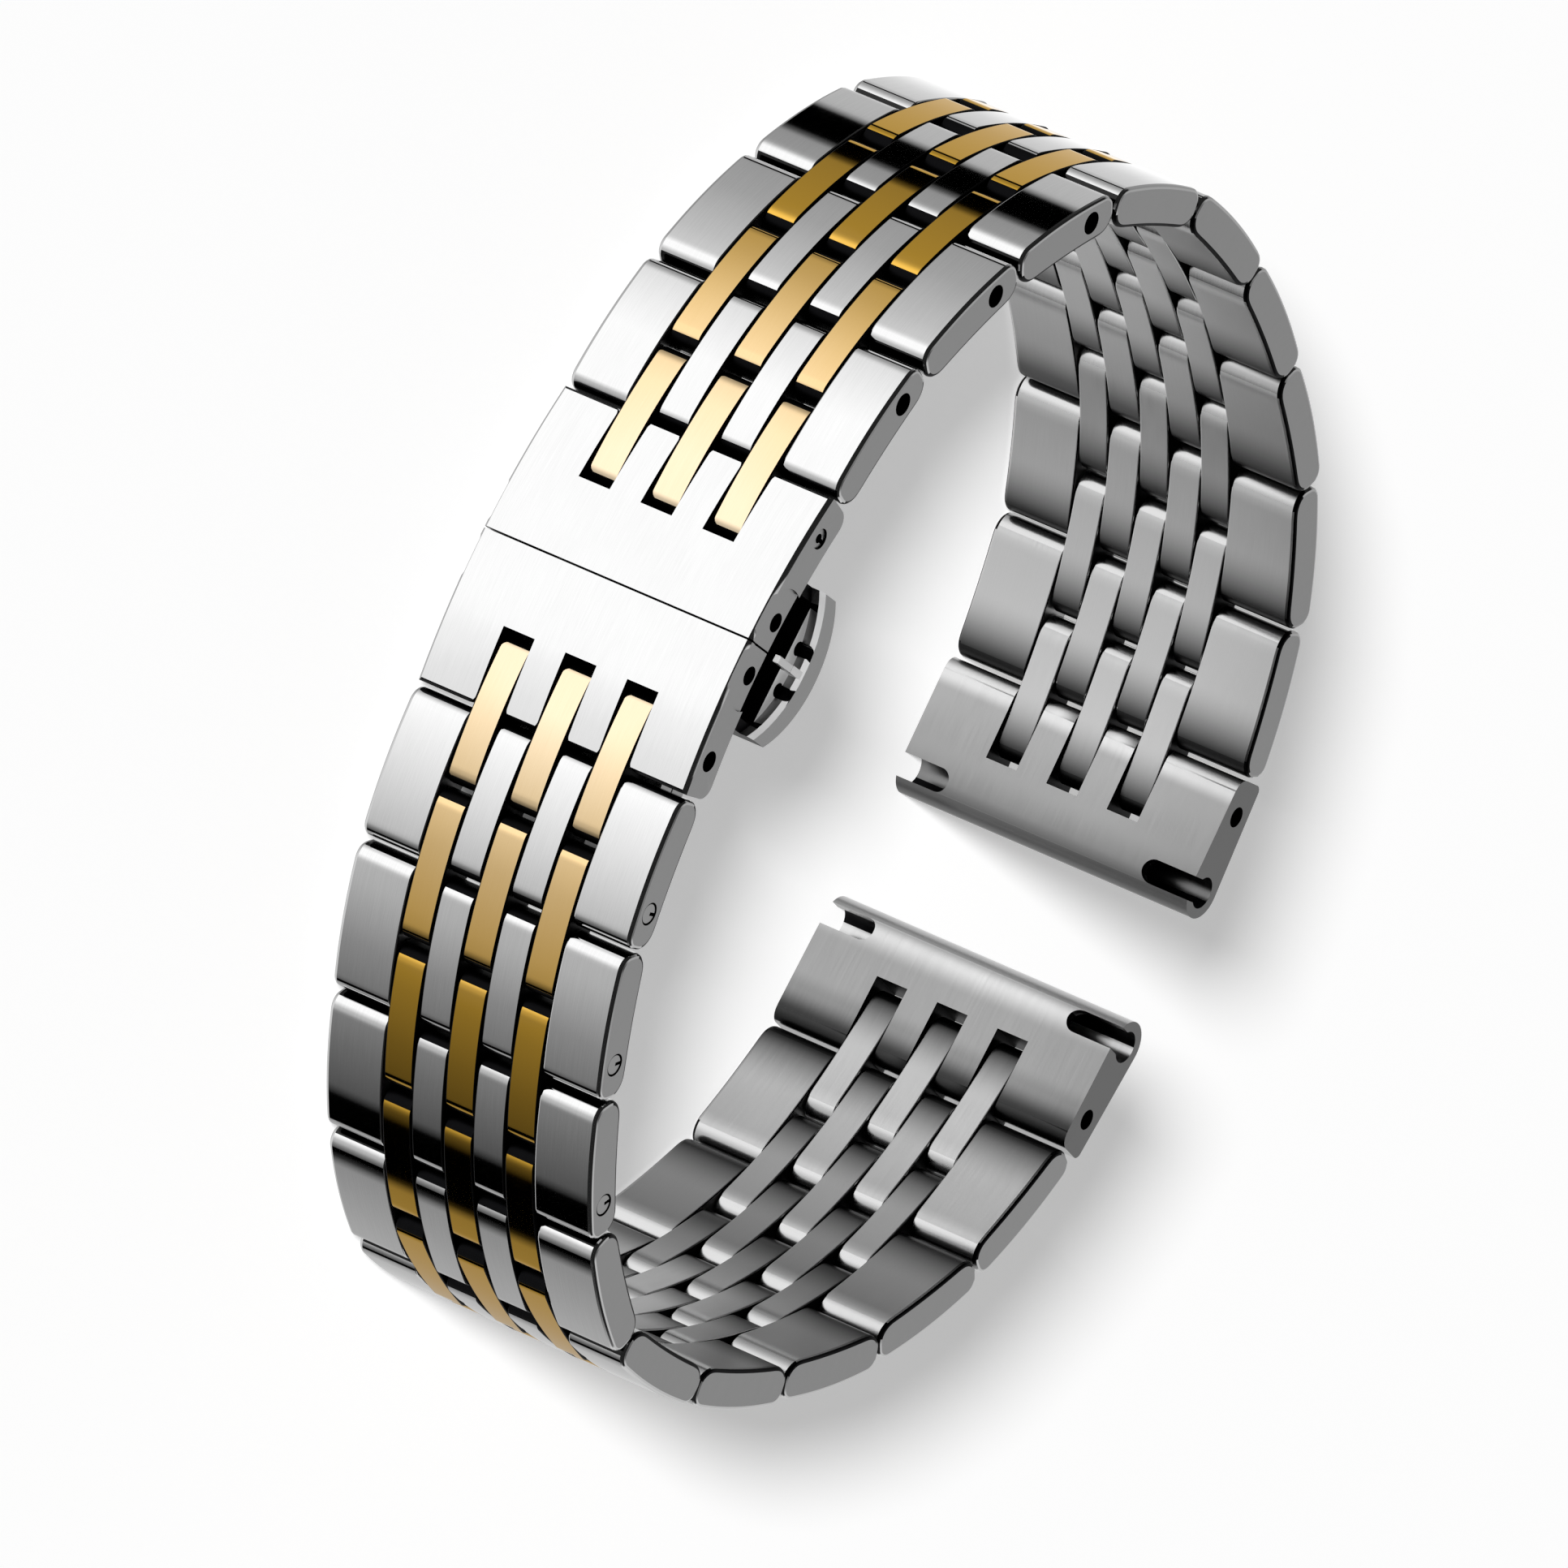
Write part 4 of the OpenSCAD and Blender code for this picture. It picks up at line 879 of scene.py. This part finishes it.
# Above and below the ring the room is an even grey, lighter in front and on the right.
above_ring = node("ShaderNodeMath", {0: ray[2], 1: -RING_HEIGHT}, operation="ADD")
off_ring = node("ShaderNodeMath", {0: above_ring}, operation="ABSOLUTE")
room_share = node("ShaderNodeMapRange", {"Value": off_ring, "From Min": RING_INNER,
                                         "From Max": RING_OUTER}, interpolation_type="SMOOTHSTEP")
before = node("ShaderNodeMath", {0: front, 1: 0.0}, operation="MAXIMUM")
front_room = node("ShaderNodeMath", {0: before, 1: ROOM_FRONT, 2: ROOM_LEVEL},
                  operation="MULTIPLY_ADD")
room = node("ShaderNodeMath", {0: ray[0], 1: ROOM_RIGHT, 2: front_room}, operation="MULTIPLY_ADD")
walls = node("ShaderNodeMix", {0: room_share, 6: tents, 7: room}, data_type="RGBA")

# The hood's lower edge, its opening overhead, and where it ends behind the bracelet.
hood_shares = [node("ShaderNodeMapRange", {"Value": reach, "From Min": outside, "From Max": inside},
                    interpolation_type="SMOOTHSTEP")
               for reach, (outside, inside) in ((ray[2], HOOD_LOW), (ray[2], HOOD_HIGH),
                                                (front, HOOD_BACK))]
hood_band = node("ShaderNodeMath", {0: hood_shares[0], 1: hood_shares[1]}, operation="MULTIPLY")
hood = node("ShaderNodeMath", {0: hood_band, 1: hood_shares[2]}, operation="MULTIPLY")
studio = node("ShaderNodeMix", {0: hood, 6: walls.outputs[2], 7: HOOD_DARK}, data_type="RGBA")

# Metal mirrors the studio at full strength, matt faces get a soft share of it, and the background
# is plain white.
path = node("ShaderNodeLightPath").outputs
power = node("ShaderNodeMath", {0: path["Is Glossy Ray"], 1: MIRROR_POWER, 2: SOFT_POWER},
             operation="MULTIPLY_ADD")
is_background = node("ShaderNodeMath", {0: path["Is Camera Ray"], 1: path["Is Transmission Ray"]},
                     operation="MAXIMUM")
on_object = node("ShaderNodeBackground", {"Color": studio.outputs[2], "Strength": power})
white = node("ShaderNodeBackground", {"Color": (1, 1, 1, 1), "Strength": 1.0})
shown = node("ShaderNodeMixShader", {0: is_background, 1: on_object, 2: white})
node("ShaderNodeOutputWorld", {0: shown})

# The lamp. It stands low behind the camera's left, so the shadow falls to the right and below, and
# it is kept off the metal, which shows the tents alone.
LAMP_ELEVATION = math.radians(23.5)
LAMP_LEFT = -0.07
LAMP_POWER = 4.8
LAMP_SPREAD = math.radians(7)
lamp = bpy.data.objects.new("soft_lamp", bpy.data.lights.new("soft_lamp", "SUN"))
scene.collection.objects.link(lamp)
lamp.data.energy = LAMP_POWER
lamp.data.angle = LAMP_SPREAD
lamp.visible_glossy = False
lamp_from = Vector((LAMP_LEFT, -math.cos(LAMP_ELEVATION), math.sin(LAMP_ELEVATION)))
lamp.rotation_euler = lamp_from.to_track_quat("Z", "Y").to_euler()

scene.view_settings.view_transform = "Standard"
